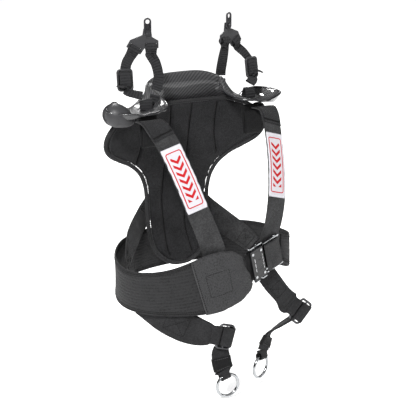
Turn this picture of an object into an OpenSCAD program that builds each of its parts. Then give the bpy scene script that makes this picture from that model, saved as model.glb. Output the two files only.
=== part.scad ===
// Head-and-neck restraint harness: carbon yoke, padded back plate, waist belt,
// shoulder straps, lap straps with rings, and two helmet tethers.
// Millimetres, +Z up. The wearer faces -Y, and +X is the wearer's left side.
// The origin is the middle of the torso at the height of the belt.

/* [Yoke] */
// Thickness of the carbon shell
shell_t = 3; // [2:0.5:4]
// Largest radius of the foam roll on each shoulder wing
roll_r = 16; // [14:0.5:17]

/* [Back pad] */
// Half thickness of the pad at its edge
pad_edge_t = 3; // [2.5:0.5:4]
// Crown that the filling adds on each side at the middle
pad_crown = 5; // [3:0.5:6]
// Radius of the bound edge
binding_r = 3.2; // [2.5:0.1:4]

/* [Webbing] */
// Width of the shoulder straps
strap_w = 44; // [40:1:48]
// Thickness of one layer of strap webbing
strap_t = 2; // [1.5:0.1:2.4]
// Thickness of the waist belt
belt_t = 4; // [3:0.5:5]
// Width of the helmet tether webbing
tether_w = 20; // [18:1:22]
// Width of the webbing that carries each lap ring
lap_w = 36; // [34:1:37]

/* [Rings and clips] */
// Outer diameter of each lap ring
ring_d = 50; // [46:1:52]
// Wire diameter of each lap ring
ring_wire = 6; // [5:0.5:6]
// Diameter of the hole in each helmet clip
clip_hole_d = 8; // [7:0.5:8.5]

/* [Buckle] */
// Height of the buckle's cover plate
cover_h = 60; // [56:1:62]
// Width of the buckle's cover plate
cover_w = 32; // [30:1:34]

/* [Hidden] */
SIDES = ["right", "left"];

webbing = [0.24, 0.24, 0.25];
dark_webbing = [0.15, 0.15, 0.16];
carbon = [0.1, 0.1, 0.11];
steel = [0.75, 0.76, 0.78];
black_metal = [0.08, 0.08, 0.09];
label_white = [0.93, 0.93, 0.95];

// Side of the body: -1 on the wearer's right, 1 on the left.
function sign_of(side) = side == "right" ? -1 : 1;
function unit(v) = v / norm(v);
function xyz(row) = [row[0], row[1], row[2]];
function width_of(row) = [row[3], row[4], row[5]];
function flip(rows) = [for (r = rows) [-r[0], r[1], r[2], r[3], -r[4], -r[5], r[6]]];
function sided(rows, side) = side == "right" ? flip(rows) : rows;
function clamp_i(i, n) = max(0, min(n - 1, i));

// Catmull-Rom curve through rows of numbers, with steps points from each row to the next.
function blend4(a, b, c, d, t) =
    0.5 * (2 * b + (c - a) * t + (2 * a - 5 * b + 4 * c - d) * t * t
           + (3 * b - a - 3 * c + d) * t * t * t);
function smooth(rows, steps) = let (n = len(rows))
    [for (i = [0 : n - 2]) for (k = [0 : steps - 1])
        blend4(rows[clamp_i(i - 1, n)], rows[i], rows[i + 1], rows[clamp_i(i + 2, n)], k / steps),
     rows[n - 1]];

// A strap: each row is a point on its centre line, the direction of its width, and its width.
module ribbon(rows, thick, steps = 4) {
    r = smooth(rows, steps);
    n = len(r);
    points = [for (i = [0 : n - 1])
        let (t = unit(xyz(r[min(i + 1, n - 1)]) - xyz(r[max(i - 1, 0)])),
             w0 = width_of(r[i]),
             w = unit(w0 - t * (w0 * t)),
             hw = w * r[i][6] / 2,
             hn = cross(t, w) * thick / 2,
             c = xyz(r[i]))
        each [c - hw - hn, c + hw - hn, c + hw + hn, c - hw + hn]];
    sides = [for (i = [0 : n - 2]) for (k = [0 : 3])
        let (a = 4 * i + k, b = 4 * i + (k + 1) % 4)
        each [[a, a + 4, b + 4], [a, b + 4, b]]];
    last = 4 * (n - 1);
    polyhedron(points, concat(sides, [[0, 1, 2], [0, 2, 3], [last, last + 2, last + 1],
                                      [last, last + 3, last + 2]]));
}

// A closed skin between two grids of points of the same size.
module skin(outer, inner) {
    n = len(outer);
    m = len(outer[0]);
    half = n * m;
    points = concat([for (row = outer) each row], [for (row = inner) each row]);
    faces = [for (i = [0 : n - 2]) for (j = [0 : m - 2])
        let (a = i * m + j, b = a + 1, c = a + m + 1, d = a + m)
        each [[a, b, c], [a, c, d], [half + a, half + c, half + b], [half + a, half + d, half + c]]];
    rim = concat([for (j = [0 : m - 1]) j], [for (i = [1 : n - 1]) i * m + m - 1],
                 [for (j = [m - 2 : -1 : 0]) (n - 1) * m + j],
                 [for (i = [n - 2 : -1 : 1]) i * m]);
    edge = [for (k = [0 : len(rim) - 1])
        let (a = rim[k], b = rim[(k + 1) % len(rim)])
        each [[a, half + a, half + b], [a, half + b, b]]];
    polyhedron(points, concat(faces, edge));
}

// A round tube along points; a closed tube joins its last ring to its first.
module tube(path, radii, sides = 8, closed = false) {
    n = len(path);
    points = [for (i = [0 : n - 1])
        let (before = closed ? path[(i + n - 1) % n] : path[max(i - 1, 0)],
             after = closed ? path[(i + 1) % n] : path[min(i + 1, n - 1)],
             t = unit(after - before),
             a = unit(cross(t, [0, 1, 0.01])),
             b = cross(t, a))
        for (k = [0 : sides - 1])
            path[i] + radii[i] * (a * cos(360 * k / sides) + b * sin(360 * k / sides))];
    rings = closed ? n : n - 1;
    faces = [for (i = [0 : rings - 1]) for (k = [0 : sides - 1])
        let (a = sides * i + k, b = sides * i + (k + 1) % sides,
             c = sides * ((i + 1) % n) + (k + 1) % sides, d = sides * ((i + 1) % n) + k)
        each [[a, d, c], [a, c, b]]];
    caps = closed ? [] : [[for (k = [0 : sides - 1]) k],
                          [for (k = [sides - 1 : -1 : 0]) sides * (n - 1) + k]];
    polyhedron(points, concat(faces, caps));
}

// ---- Yoke ----

// Half of the yoke as sections from the middle of the back to the front tip of the left arm.
// Each section runs from the neck edge over the rim, down the wall, across the channel
// that a seat belt lies in, and up to the outer lip.
yoke_sections = [
    [[0, 112, 344], [0, 103, 352], [0, 96, 334], [0, 98, 310], [0, 102, 292], [0, 108, 272]],
    [[46, 109, 343], [47, 100, 350], [49, 93, 332], [53, 96, 310], [57, 100, 292], [62, 107, 272]],
    [[78, 98, 334], [80, 90, 339], [86, 84, 322], [98, 88, 305], [108, 93, 292], [120, 100, 282]],
    [[76, 74, 322], [82, 68, 323], [98, 66, 306], [120, 72, 296], [136, 80, 292], [150, 88, 306]],
    [[70, 50, 311], [78, 47, 311], [100, 46, 300], [140, 52, 292], [166, 58, 287], [176, 62, 309]],
    [[74, 28, 305], [82, 27, 306], [108, 26, 297], [142, 30, 291], [172, 34, 285], [193, 38, 302]],
    [[84, 10, 302], [92, 8, 303], [114, 7, 297], [136, 9, 294], [154, 12, 290], [168, 17, 298]],
    [[98, -2, 301], [104, -3, 301], [116, -5, 298], [128, -4, 297], [139, -1, 296], [148, 4, 298]]];
function mirror_x(points) = [for (p = points) [-p[0], p[1], p[2]]];
yoke_rows = concat([for (i = [len(yoke_sections) - 1 : -1 : 1]) mirror_x(yoke_sections[i])],
                   yoke_sections);
function along_yoke(j) = smooth([for (row = yoke_rows) row[j]], 3);
yoke_columns = [for (j = [0 : len(yoke_sections[0]) - 1]) along_yoke(j)];
yoke_grid = [for (i = [0 : len(yoke_columns[0]) - 1]) smooth([for (c = yoke_columns) c[i]], 3)];
function grid_normal(g, i, j) = let (n = len(g), m = len(g[0]))
    unit(cross(g[min(i + 1, n - 1)][j] - g[max(i - 1, 0)][j],
               g[i][min(j + 1, m - 1)] - g[i][max(j - 1, 0)]));
yoke_under = [for (i = [0 : len(yoke_grid) - 1])
    [for (j = [0 : len(yoke_grid[0]) - 1]) yoke_grid[i][j] + shell_t * grid_normal(yoke_grid, i, j)]];

module yoke_shell() {
    color(carbon) skin(yoke_under, yoke_grid);
}

// Foam roll slit over the outer lip of each shoulder wing.
roll_path = [[150, 20, 276], [168, 24, 284], [181, 32, 292], [180, 46, 294], [162, 62, 287]];
module shoulder_roll(side) {
    s = sign_of(side);
    path = smooth([for (p = roll_path) [s * p[0], p[1], p[2]]], 3);
    n = len(path);
    radii = [for (i = [0 : n - 1]) roll_r * (0.5 + 0.5 * sin(180 * i / (n - 1)))];
    color(webbing) tube(path, radii, 12);
}

// ---- Back pad ----

// Rows of the pad from top to bottom: height, half width, and the depth of its middle.
pad_rows = [[295, 92, 88], [290, 112, 89], [280, 138, 92], [265, 162, 96], [245, 177, 101],
            [225, 178, 106], [208, 166, 109], [193, 140, 112], [180, 114, 114], [160, 90, 117],
            [135, 76, 120], [105, 70, 122], [70, 69, 121], [35, 68, 117], [5, 62, 112],
            [-15, 50, 108], [-28, 34, 104], [-36, 14, 101]];
// How far the pad wraps forward at its sides, per square millimetre of offset.
pad_wrap = 0.0009;
pad_columns = 10;
function pad_point(row, u, side, inset) = let (
        x = u * (row[1] - inset),
        half = pad_edge_t + pad_crown * (1 - pow(abs(u), 4)) - 0.5 * inset)
    [x, row[2] - pad_wrap * x * x + side * half, row[0]];
function pad_grid(side, inset) = [for (i = [0 : len(pad_rows) - 1])
    let (shrink = inset * (1 - 2 * i / (len(pad_rows) - 1)),
         row = pad_rows[i] - [shrink, 0, 0])
    [for (j = [0 : pad_columns]) pad_point(row, 2 * j / pad_columns - 1, side, inset)]];
cover_inset = 3;
foam_gap = 0.4;

module pad_solid(inset) {
    skin(pad_grid(-1, inset), pad_grid(1, inset));
}
module back_pad_cover() {
    color(webbing) difference() {
        pad_solid(0);
        pad_solid(cover_inset);
    }
}
module back_pad_foam() {
    color([0.85, 0.83, 0.78]) pad_solid(cover_inset + foam_gap);
}
pad_edge = concat([for (r = pad_rows) [r[1], r[2] - pad_wrap * r[1] * r[1], r[0]]],
                  [for (i = [len(pad_rows) - 1 : -1 : 0])
                      let (r = pad_rows[i]) [-r[1], r[2] - pad_wrap * r[1] * r[1], r[0]]]);
module back_pad_binding() {
    loop = smooth(pad_edge, 2);
    color(dark_webbing) tube(loop, [for (p = loop) binding_r], 6, closed = true);
}

// ---- Shoulder straps ----

// Left strap from under the yoke's front tip to the inside of the belt.
strap_rows = [[128, 12, 284, 1, 0.05, 0, strap_w], [127, -8, 284, 1, 0.05, -0.05, strap_w],
              [124, -24, 276, 0.96, 0.06, -0.2, strap_w], [114, -52, 244, 0.95, 0.09, -0.28, strap_w],
              [101, -82, 190, 0.95, 0.09, -0.28, strap_w], [87, -104, 134, 0.95, 0.08, -0.28, strap_w],
              [72, -115, 88, 0.96, 0.15, -0.22, strap_w]];
// The last stretch lies inside the belt on the right, and behind the buckle on the left.
strap_end_right = [[60, -116, 55, 0.96, 0.26, -0.12, strap_w],
                   [56, -117, 30, 0.96, 0.26, -0.1, strap_w]];
strap_end_left = [[61, -113, 55, 0.97, 0.22, -0.12, strap_w],
                  [58, -111, 34, 0.97, 0.22, -0.1, strap_w]];
module shoulder_strap(side) {
    end = side == "right" ? strap_end_right : strap_end_left;
    color(webbing) ribbon(sided(concat(strap_rows, end), side), strap_t);
}
// Turned-back end sewn on the outside of each strap.
cuff_lift = 2.4;
cuff_rows = [[128, 8, 282 + cuff_lift, 1, 0.05, 0, strap_w],
             [127, -8.6, 284 + cuff_lift, 1, 0.05, -0.05, strap_w],
             [124.4, -25.6, 278, 0.96, 0.06, -0.2, strap_w],
             [119, -41, 261, 0.95, 0.08, -0.25, strap_w]];
module strap_cuff(side) {
    color(dark_webbing) ribbon(sided(cuff_rows, side), strap_t);
}
label_w = 40;
label_t = 0.8;
label_rows = [[114.2, -53.4, 245, 0.95, 0.09, -0.28, label_w],
              [101.2, -83.4, 190.6, 0.95, 0.09, -0.28, label_w],
              [87.2, -105.4, 134.6, 0.95, 0.08, -0.28, label_w]];
module strap_label(side) {
    color(label_white) ribbon(sided(label_rows, side), label_t);
}
// Folded loop that hangs from the arm beside each strap.
keeper_w = 38;
keeper_path = [[22, 290], [18, 262], [14, 240], [10, 235], [6, 240], [6, 262], [10, 279]];
module strap_keeper(side) {
    x = side == "right" ? -118 : 108;
    rows = [for (p = keeper_path) [x, p[0], p[1], 1, 0, 0, keeper_w]];
    color(dark_webbing) ribbon(rows, strap_t, 3);
}

// ---- Waist belt ----

belt_right_rows = [[6, -129, 17, 0.25, 0, -1, 60], [-8, -129, 11, 0.12, 0, -1, 82],
                   [-30, -128, 4, 0, 0, -1, 104], [-58, -123, -2, 0, 0, -1, 112],
                   [-92, -111, -12, 0, 0, -1, 106], [-128, -90, -20, 0, 0, -1, 92],
                   [-160, -58, -26, 0, 0, -1, 83], [-178, -14, -30, 0, 0, -1, 79],
                   [-180, 30, -28, 0, 0, -1, 79], [-166, 70, -20, 0, 0, -1, 80],
                   [-136, 103, -12, 0, 0, -1, 84], [-98, 126, -9, 0, 0, -1, 86]];
belt_back_rows = [[-97.5, 126.3, -9, 0, 0, -1, 86], [-50, 139, -9, 0, 0, -1, 86], [0, 143, -9, 0, 0, -1, 86],
                  [50, 138, -9, 0, 0, -1, 86], [95, 122, -9, 0, 0, -1, 86]];
belt_left_rows = [[95.5, 121.7, -9, 0, 0, -1, 86], [126, 98, -8, 0, 0, -1, 84], [152, 62, -6, 0, 0, -1, 82],
                  [166, 20, -5, 0, 0, -1, 80], [163, -22, 0, 0, 0, -1, 76], [148, -60, 10, 0, 0, -1, 68],
                  [125, -90, 20, 0.1, 0, -1, 58], [106, -105, 30, 0.2, 0, -1, 54],
                  [90, -112, 36, 0.25, 0, -1, 54]];
module belt_panel_right() {
    color(webbing) ribbon(belt_right_rows, belt_t);
}
module belt_panel_left() {
    color(webbing) ribbon(belt_left_rows, belt_t);
}
module belt_panel_back() {
    color(webbing) ribbon(belt_back_rows, belt_t);
}
// Fabric cover over the front end of the right panel, with a sewn square.
cover_rows = [[2, -132.4, 14, 0.2, 0, -1, 72], [-10, -132.8, 9, 0.1, 0, -1, 92],
              [-30, -131.8, 4, 0, 0, -1, 107], [-58, -126.6, -2, 0, 0, -1, 115],
              [-92, -114.4, -12, 0, 0, -1, 109]];
module belt_cover_right() {
    color(webbing) ribbon(cover_rows, 2.6);
}
// Diagonal straps from behind the pad to the inside of the belt.
back_strap_rows = [[42, 135, 92, -0.6, 0.1, -0.8, 46], [72, 131, 62, -0.62, 0.2, -0.78, 46],
                   [106, 110, 30, -0.7, 0.3, -0.65, 46], [135, 78, 2, -0.5, 0.5, -0.7, 44],
                   [147, 60, -14, -0.3, 0.5, -0.8, 40]];
module back_strap(side) {
    color(webbing) ribbon(sided(back_strap_rows, side), strap_t);
}

// ---- Lap straps ----

// Middle of each triglide's inner bar.
lap_bar_right = [-56, -126, -107];
lap_bar_left = [128, -117, -92];

// Places children in the frame of a triglide: origin on the inner bar, X towards the outer
// bar, Y to the back, Z along the bars.
module at_triglide(side) {
    if (side == "right")
        translate(lap_bar_right) rotate([0, 0, -18]) rotate([0, 14, 0]) children();
    else
        translate(lap_bar_left) rotate([0, 0, -8]) rotate([0, 40, 0]) children();
}
bar_r = 2;
slide_depth = 26;
slide_len = 45;
loop_gap = 0.5;
fold_r = bar_r + loop_gap + strap_t / 2;

// Hairpin of webbing round a bar: c is the bar's middle, t points past the bar, n is the
// side that the first layer lies on, w is the direction of the bar. The two layers close up
// to gap apart at the end of the tail.
function hairpin(c, t, n, w, r, width, tail, gap) = [for (p = concat(
        [[-tail, gap / 2], [-tail * 0.7, gap / 2 + 0.4], [-2, r]],
        [for (a = [60, 0, -60]) [r * cos(a), r * sin(a)]],
        [[-2, -r], [-tail * 0.7, -gap / 2 - 0.4], [-tail, -gap / 2]]))
    concat(c + p[0] * t + p[1] * n, w, [width])];
function spin_z(v, a) = [v[0] * cos(a) - v[1] * sin(a), v[0] * sin(a) + v[1] * cos(a), v[2]];
function slide_x(side) = side == "right" ? spin_z([cos(14), 0, -sin(14)], -18)
                                         : spin_z([cos(40), 0, -sin(40)], -8);
function slide_y(side) = spin_z([0, 1, 0], side == "right" ? -18 : -8);
function slide_z(side) = side == "right" ? spin_z([sin(14), 0, cos(14)], -18)
                                         : spin_z([sin(40), 0, cos(40)], -8);

// The wide strap from behind the belt, whose end folds round the inner bar.
lap_right_rows = [[-165, -17, -52, 0.1, 0, -1, 56], [-147, -59, -68, 0, 0.1, -1, 60],
                  [-120, -86, -84, -0.1, 0.1, -1, 62], [-96, -102, -96, -0.2, 0.1, -1, 58]];
lap_left_rows = [[60, -108, -8, 0.66, 0, 0.75, 40], [78, -110, -34, 0.66, 0, 0.75, 40],
                 [98, -114, -60, 0.65, 0, 0.75, 38]];
module lap_tab(side) {
    bar = side == "right" ? lap_bar_right : lap_bar_left;
    x = slide_x(side);
    y = slide_y(side);
    w = sign_of(side) * slide_z(side);
    body = side == "right" ? lap_right_rows : lap_left_rows;
    color(webbing) {
        ribbon(hairpin(bar, x, -y, w, fold_r, 36, 14, strap_t + 0.4), strap_t, 2);
        ribbon(concat(body, [concat(bar - 22 * x, w, [46]), concat(bar - 12 * x, w, [37])]),
               2 * strap_t, 4);
    }
}

module triglide(side) {
    color(black_metal) at_triglide(side) {
        for (x = [0, slide_depth / 2, slide_depth])
            translate([x, 0, -slide_len / 2]) cylinder(r = bar_r, h = slide_len, $fn = 24);
        for (z = [-slide_len / 2 - 1.5, slide_len / 2 - 2.5])
            translate([-bar_r, -1.6, z]) cube([slide_depth + 2 * bar_r, 3.2, 4]);
    }
}

// The ring strap passes over the middle and outer bars and hangs to its ring.
hang_right = [[-35, -123, -116, 0.9, -0.1, 0.3, 24], [-43, -120, -130, 0.95, -0.1, 0.3, 28],
              [-48, -121, -145, 0.95, -0.1, 0.3, lap_w],
              [-48, -124, -160, 0.95, -0.1, 0.3, lap_w], [-45.5, -128, -178, 0.95, -0.1, 0.3, lap_w]];
hang_left = [[143, -110, -106, 0.5, 0.8, 0.2, 26], [124, -107, -116, 0.4, 0.8, -0.1, 28],
             [98, -106, -126, 0.45, 0.8, -0.2, 30], [76, -107, -136, 0.7, 0.6, -0.2, lap_w],
             [64, -109, -150, 0.88, 0.4, -0.15, lap_w], [57, -110, -166, 0.9, 0.35, -0.1, lap_w]];
ring_loop_right = [-43, -128, -190];
ring_loop_left = [54, -110, -178];
ring_side_right = unit([0.95, -0.1, 0.3]);
ring_side_left = unit([0.9, 0.35, -0.1]);
ring_down_right = unit(cross(cross(ring_side_right, [0.3, 0, -0.95]), ring_side_right));
ring_down_left = unit(cross(cross(ring_side_left, [-0.1, 0, -0.99]), ring_side_left));
function ring_loop(side) = side == "right" ? ring_loop_right : ring_loop_left;
function ring_side(side) = side == "right" ? ring_side_right : ring_side_left;
function ring_down(side) = side == "right" ? ring_down_right : ring_down_left;
ring_mid_r = (ring_d - ring_wire) / 2;
loop_w = 20;
ring_loop_r = ring_wire / 2 + 2.9 + strap_t / 2;
module ring_strap(side) {
    hang = side == "right" ? hang_right : hang_left;
    x = slide_x(side);
    y = slide_y(side);
    z = slide_z(side);
    bar = side == "right" ? lap_bar_right : lap_bar_left;
    w = ring_side(side);
    d = ring_down(side);
    n = cross(w, d);
    c = ring_loop(side);
    lift = bar_r + strap_t / 2 + 0.2;
    over = [for (p = [[8.5, 3.2], [9, -0.5], [11.5, -lift], [19, -lift - 0.4], [27, -lift],
                      [slide_depth + lift, 0], [27, lift], [22, 6], [20.5, 9]])
        concat(bar + p[0] * x + p[1] * y, z, [lap_w + 2])];
    pocket = [for (p = [[-12, 1], [-6, 4.6], [0, ring_loop_r], [4.9, 4.9], [ring_loop_r, 0],
                        [4.9, -4.9], [0, -ring_loop_r], [-6, -4.6], [-12, -1]])
        concat(c + p[0] * d + p[1] * n, w, [abs(p[0]) > 8 ? lap_w : loop_w])];
    color(webbing) {
        ribbon(over, strap_t, 2);
        ribbon(hang, 2 * strap_t);
        ribbon(pocket, strap_t, 2);
    }
}
// Dark sleeve round the two layers of each ring strap.
sleeve_w = lap_w + 3;
sleeve_right = [[-48.4, -122.8, -154, 0.95, -0.1, 0.3, sleeve_w],
                [-47.6, -125, -165, 0.95, -0.1, 0.3, sleeve_w],
                [-45.8, -127.6, -176, 0.95, -0.1, 0.3, sleeve_w]];
sleeve_left = [[70, -107.6, -142, 0.8, 0.5, -0.2, sleeve_w],
               [60, -109.6, -159, 0.9, 0.35, -0.1, sleeve_w]];
module ring_sleeve(side) {
    color(dark_webbing) ribbon(side == "right" ? sleeve_right : sleeve_left, 2 * strap_t + 3, 3);
}
module lap_ring(side) {
    c = ring_loop(side) + ring_mid_r * ring_down(side);
    d = ring_down(side);
    w = ring_side(side);
    n = cross(w, d);
    // The ring's axis is n: turn Z onto it.
    color(steel) translate(c) rotate([0, acos(n[2]), atan2(n[1], n[0])])
        rotate_extrude($fn = 72) translate([ring_mid_r, 0]) circle(d = ring_wire, $fn = 20);
}

// ---- Buckle ----

// Frame of the buckle: X along the belt, -Y outwards, Z up the buckle.
buckle_at = [26, -128, 22];
buckle_yaw = 12;
buckle_roll = -14.5;
module at_buckle() {
    translate(buckle_at) rotate([0, 0, buckle_yaw]) rotate([0, buckle_roll, 0]) children();
}
base_h = 62;
base_w = 50;
rivet_x = 11;
rivet_z = 24;
// Back plate of the female half, with a bar that the right belt end wraps round.
module buckle_base() {
    color(black_metal) at_buckle() difference() {
        translate([-cover_w / 2 - 6, 1, -base_h / 2]) cube([base_w, 2.5, base_h]);
        translate([-cover_w / 2 - 3, 0, -base_h / 2 + 6]) cube([5, 5, base_h - 12]);
        for (x = [-rivet_x, rivet_x], z = [-rivet_z, rivet_z])
            translate([x, 5, z]) rotate([90, 0, 0]) cylinder(d = 4, h = 6, $fn = 24);
    }
}
module buckle_cover() {
    color(black_metal) at_buckle() difference() {
        translate([-cover_w / 2, -7, -cover_h / 2]) cube([cover_w, 5, cover_h]);
        for (z = [-10, 10])
            translate([-1, -8, z - 3]) cube([8, 1.6, 6]);
        for (x = [-rivet_x, rivet_x], z = [-rivet_z, rivet_z])
            translate([x, 0, z]) rotate([90, 0, 0]) cylinder(d = 4, h = 9, $fn = 24);
    }
}
module buckle_rivets() {
    color(steel) at_buckle() for (x = [-rivet_x, rivet_x], z = [-rivet_z, rivet_z]) {
        translate([x, 3.5, z]) rotate([90, 0, 0]) cylinder(d = 4, h = 10.5, $fn = 24);
        translate([x, -7, z]) rotate([90, 0, 0]) cylinder(d = 5.4, h = 0.8, $fn = 24);
    }
}
// Male half: a tongue between the plates and a frame for the adjuster bar.
tongue_reach = 64;
module buckle_tongue() {
    color(steel) at_buckle() difference() {
        union() {
            translate([-6, -1.6, -15]) cube([30, 2.2, 30]);
            translate([20, -1.6, -28]) cube([6, 2.2, 56]);
            for (z = [-31, 28])
                translate([20, -4.6, z]) cube([tongue_reach - 20, 7, 3]);
            translate([tongue_reach - 3, -2.6, -31]) cube([3, 3, 62]);
        }
        translate([54, -1.1, -40]) cylinder(d = 5, h = 80, $fn = 24);
    }
}
module buckle_adjust_bar() {
    color(steel) at_buckle() translate([54, -1.1, -33]) cylinder(d = 5, h = 66, $fn = 24);
}
// Two sprung clips that free the tongue when both are pressed towards each other.
clip_z = 24;
module buckle_clip(up) {
    color(steel) at_buckle() mirror([0, 0, up ? 0 : 1]) {
        translate([-8, -1.6, clip_z - 5]) cube([16, 2.2, 4]);
        translate([-14, -1.6, cover_h / 2 + 1.4]) cube([32, 2.2, 3]);
        translate([-3, -1.6, clip_z - 5]) cube([6, 2.2, cover_h / 2 + 3 - clip_z + 5]);
        translate([-14, -4.6, cover_h / 2 + 4.4]) cube([12, 5.2, 2]);
        translate([6, -4.6, cover_h / 2 + 4.4]) cube([12, 5.2, 2]);
    }
}
module buckle_spring(up) {
    color(steel) at_buckle() mirror([0, 0, up ? 0 : 1]) for (x = [-6.2, 6.2])
        translate([x, -0.5, cover_h / 2 - 5]) difference() {
            cylinder(d = 1.8, h = 6, $fn = 16);
            translate([0, 0, -1]) cylinder(d = 1, h = 8, $fn = 16);
        }
}
// Left belt end: webbing folded round the adjuster bar and back over itself.
module belt_end_left() {
    color(webbing) at_buckle() {
        translate([22, -9.5, -27]) cube([40, 4.5, 54]);
        translate([59.5, -9.5, -27]) cube([4, 14, 54]);
        translate([40, 2.2, -27]) cube([23.5, 2.3, 54]);
    }
}

// ---- Helmet tethers ----

link_at = [88.6, 72, 438];
link_yaw = 17.5;
link_t = 3;
rivet_d = 6;
module at_link(side) {
    mirror([side == "right" ? 1 : 0, 0, 0]) translate(link_at) rotate([0, 0, link_yaw]) children();
}
rear_slot = [-7, -24];
front_slot = [23, -28];
front_tilt = 30;
slot_len = 22;
slot_h = 5;
link_outline = [[-7, 6], [7, 6], [9, -6], [32, -14], [40, -27], [14, -42], [6, -31], [-21, -31],
                [-21, -17], [-9, -10]];
module link_slot(at, tilt) {
    translate(at) rotate(tilt) square([slot_len, slot_h], center = true);
}
module y_link(side) {
    color(black_metal) at_link(side) rotate([90, 0, 0]) difference() {
        translate([0, 0, -link_t / 2]) linear_extrude(link_t) difference() {
            polygon(link_outline);
            link_slot(rear_slot, 0);
            link_slot(front_slot, front_tilt);
        }
        translate([0, 0, -5]) cylinder(d = rivet_d, h = 10, $fn = 32);
    }
}
module clip_rivet(side) {
    color(steel) at_link(side) rotate([90, 0, 0]) {
        translate([0, 0, -1.6]) cylinder(d = rivet_d, h = 7.2, $fn = 32);
        translate([0, 0, 5.6]) cylinder(d = 9, h = 1.4, $fn = 32);
        translate([0, 0, -2.6]) cylinder(d = 9, h = 1, $fn = 32);
    }
}
clip_len = 19;
clip_w = 14;
clip_t = 3;
clip_play = 0.08;
// Steel clip that snaps onto a helmet post; it turns on the rivet.
module helmet_clip(side) {
    color(black_metal) at_link(side) rotate([90, 0, 0]) translate([0, 0, 2.2]) difference() {
        union() {
            cylinder(d = clip_w, h = clip_t, $fn = 48);
            translate([0, clip_len, 0]) cylinder(d = clip_w, h = clip_t, $fn = 48);
            translate([-clip_w / 2, 0, 0]) cube([clip_w, clip_len, clip_t]);
        }
        translate([0, 0, -1]) cylinder(d = rivet_d + 2 * clip_play, h = clip_t + 2, $fn = 32);
        translate([0, clip_len, -1]) cylinder(d = clip_hole_d, h = clip_t + 2, $fn = 48);
    }
}

// A point of the left link plate in the part's frame.
function link_point(p) = link_at + spin_z([p[0], 0, p[1]], link_yaw);
link_x = spin_z([1, 0, 0], link_yaw);
link_n = spin_z([0, -1, 0], link_yaw);
tether_t = 1.5;
tether_fold_r = 3.7;
function mirrored(v) = [-v[0], v[1], v[2]];
function from_left(v, side) = side == "right" ? mirrored(v) : v;

rear_leg = [
    [[-83, 71, 396, 0.95, -0.3, 0, tether_w], [-73, 69, 378, 0.97, -0.2, 0, tether_w],
     [-70, 64, 356, 0.97, -0.2, 0, tether_w], [-75, 58, 341, 0.95, -0.2, 0, tether_w],
     [-81, 54, 330, 0.9, -0.2, 0, tether_w]],
    [[83, 72, 396, 0.95, 0.3, 0, tether_w], [86, 84, 370, 0.97, 0.2, 0, tether_w],
     [91, 98, 347, 1, 0, 0, tether_w], [93.5, 103, 336, 1, 0, 0, tether_w]]];
rear_base = [
    [[-85, 51, 322, 0.9, -0.2, 0, tether_w], [-88, 49, 314, 0.9, -0.2, 0, tether_w],
     [-92, 45, 304, 0.9, -0.2, 0, tether_w]],
    [[94.7, 105, 328, 1, 0, 0, tether_w], [97, 106, 318, 1, 0, 0, tether_w],
     [101, 100, 305, 1, 0, 0, tether_w]]];
front_leg = [
    [[-121, 82, 392, 0.83, -0.26, -0.5, tether_w], [-131, 76, 382, 0.9, -0.2, -0.35, tether_w],
     [-139, 68, 369, 0.97, -0.2, -0.1, tether_w]],
    [[121, 82, 392, 0.83, 0.26, 0.5, tether_w], [131, 77, 382, 0.9, 0.2, 0.35, tether_w],
     [139, 69, 369, 0.97, 0.2, 0.1, tether_w]]];
tail_leg = [
    [[-142, 62, 334, 0.97, -0.15, 0, tether_w], [-136, 55, 330, 0.95, -0.1, 0.1, tether_w],
     [-126, 47, 327, 0.9, 0, 0.2, tether_w], [-117, 42, 325, 0.8, 0.2, 0.3, tether_w]],
    [[142, 63, 335, 0.97, 0.15, 0, tether_w], [137, 54, 332, 0.95, 0.1, 0, tether_w],
     [130, 47, 329, 0.95, 0, -0.1, tether_w], [122, 41, 327, 0.9, -0.1, -0.2, tether_w]]];
free_tail = [
    [[-141, 62, 336, 0.3, -0.9, 0, 18], [-147, 61, 342, 0.3, -0.9, 0, 18],
     [-155, 58, 343, 0.3, -0.9, 0, tether_w]],
    [[141, 62, 336, -0.3, -0.9, 0, 18], [147, 62, 343, -0.3, -0.9, 0, 18],
     [154, 61, 346, -0.3, -0.9, 0, tether_w],
     [162, 59, 343, -0.3, -0.9, 0, tether_w]]];
front_base = [
    [[-108, 48, 299, 0.85, -0.2, 0.2, 24], [-109, 46, 309, 0.85, -0.2, 0.2, 24],
     [-111, 41, 316, 0.85, -0.2, 0.2, 24], [-113, 36, 309, 0.85, -0.2, 0.2, 24],
     [-114, 34, 299, 0.85, -0.2, 0.2, 24]],
    [[119, 49, 299, 0.9, 0.1, -0.1, 24], [119, 47, 310, 0.9, 0.1, -0.1, 24],
     [119, 41, 318, 0.9, 0.1, -0.1, 24], [119, 35, 310, 0.9, 0.1, -0.1, 24],
     [119, 33, 299, 0.9, 0.1, -0.1, 24]]];
function of_side(pair, side) = side == "right" ? pair[0] : pair[1];

// One length of webbing: a short sewn end, the fold round a bar of the link, and the leg below.
module link_tether(side, at, tilt, leg) {
    c = from_left(link_point(at), side);
    up = from_left(spin_z([-sin(tilt), 0, cos(tilt)], link_yaw), side);
    w = sign_of(side) * from_left(spin_z([cos(tilt), 0, sin(tilt)], link_yaw), side);
    n = from_left(link_n, side);
    fold = hairpin(c, up, n, w, tether_fold_r, tether_w, 10, tether_t + 0.4);
    ribbon(concat(fold, leg), tether_t, 3);
}
bar_drop = 4.8;
module tether_rear(side) {
    color(webbing) link_tether(side, rear_slot - [0, bar_drop], 0, of_side(rear_leg, side));
}
module tether_front(side) {
    foot = front_slot + bar_drop * [sin(front_tilt), -cos(front_tilt)];
    color(webbing) link_tether(side, foot, front_tilt, of_side(front_leg, side));
}
module tether_tail(side) {
    color(webbing) {
        ribbon(of_side(tail_leg, side), 2 * tether_t, 3);
        ribbon(of_side(free_tail, side), tether_t, 3);
    }
}
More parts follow.
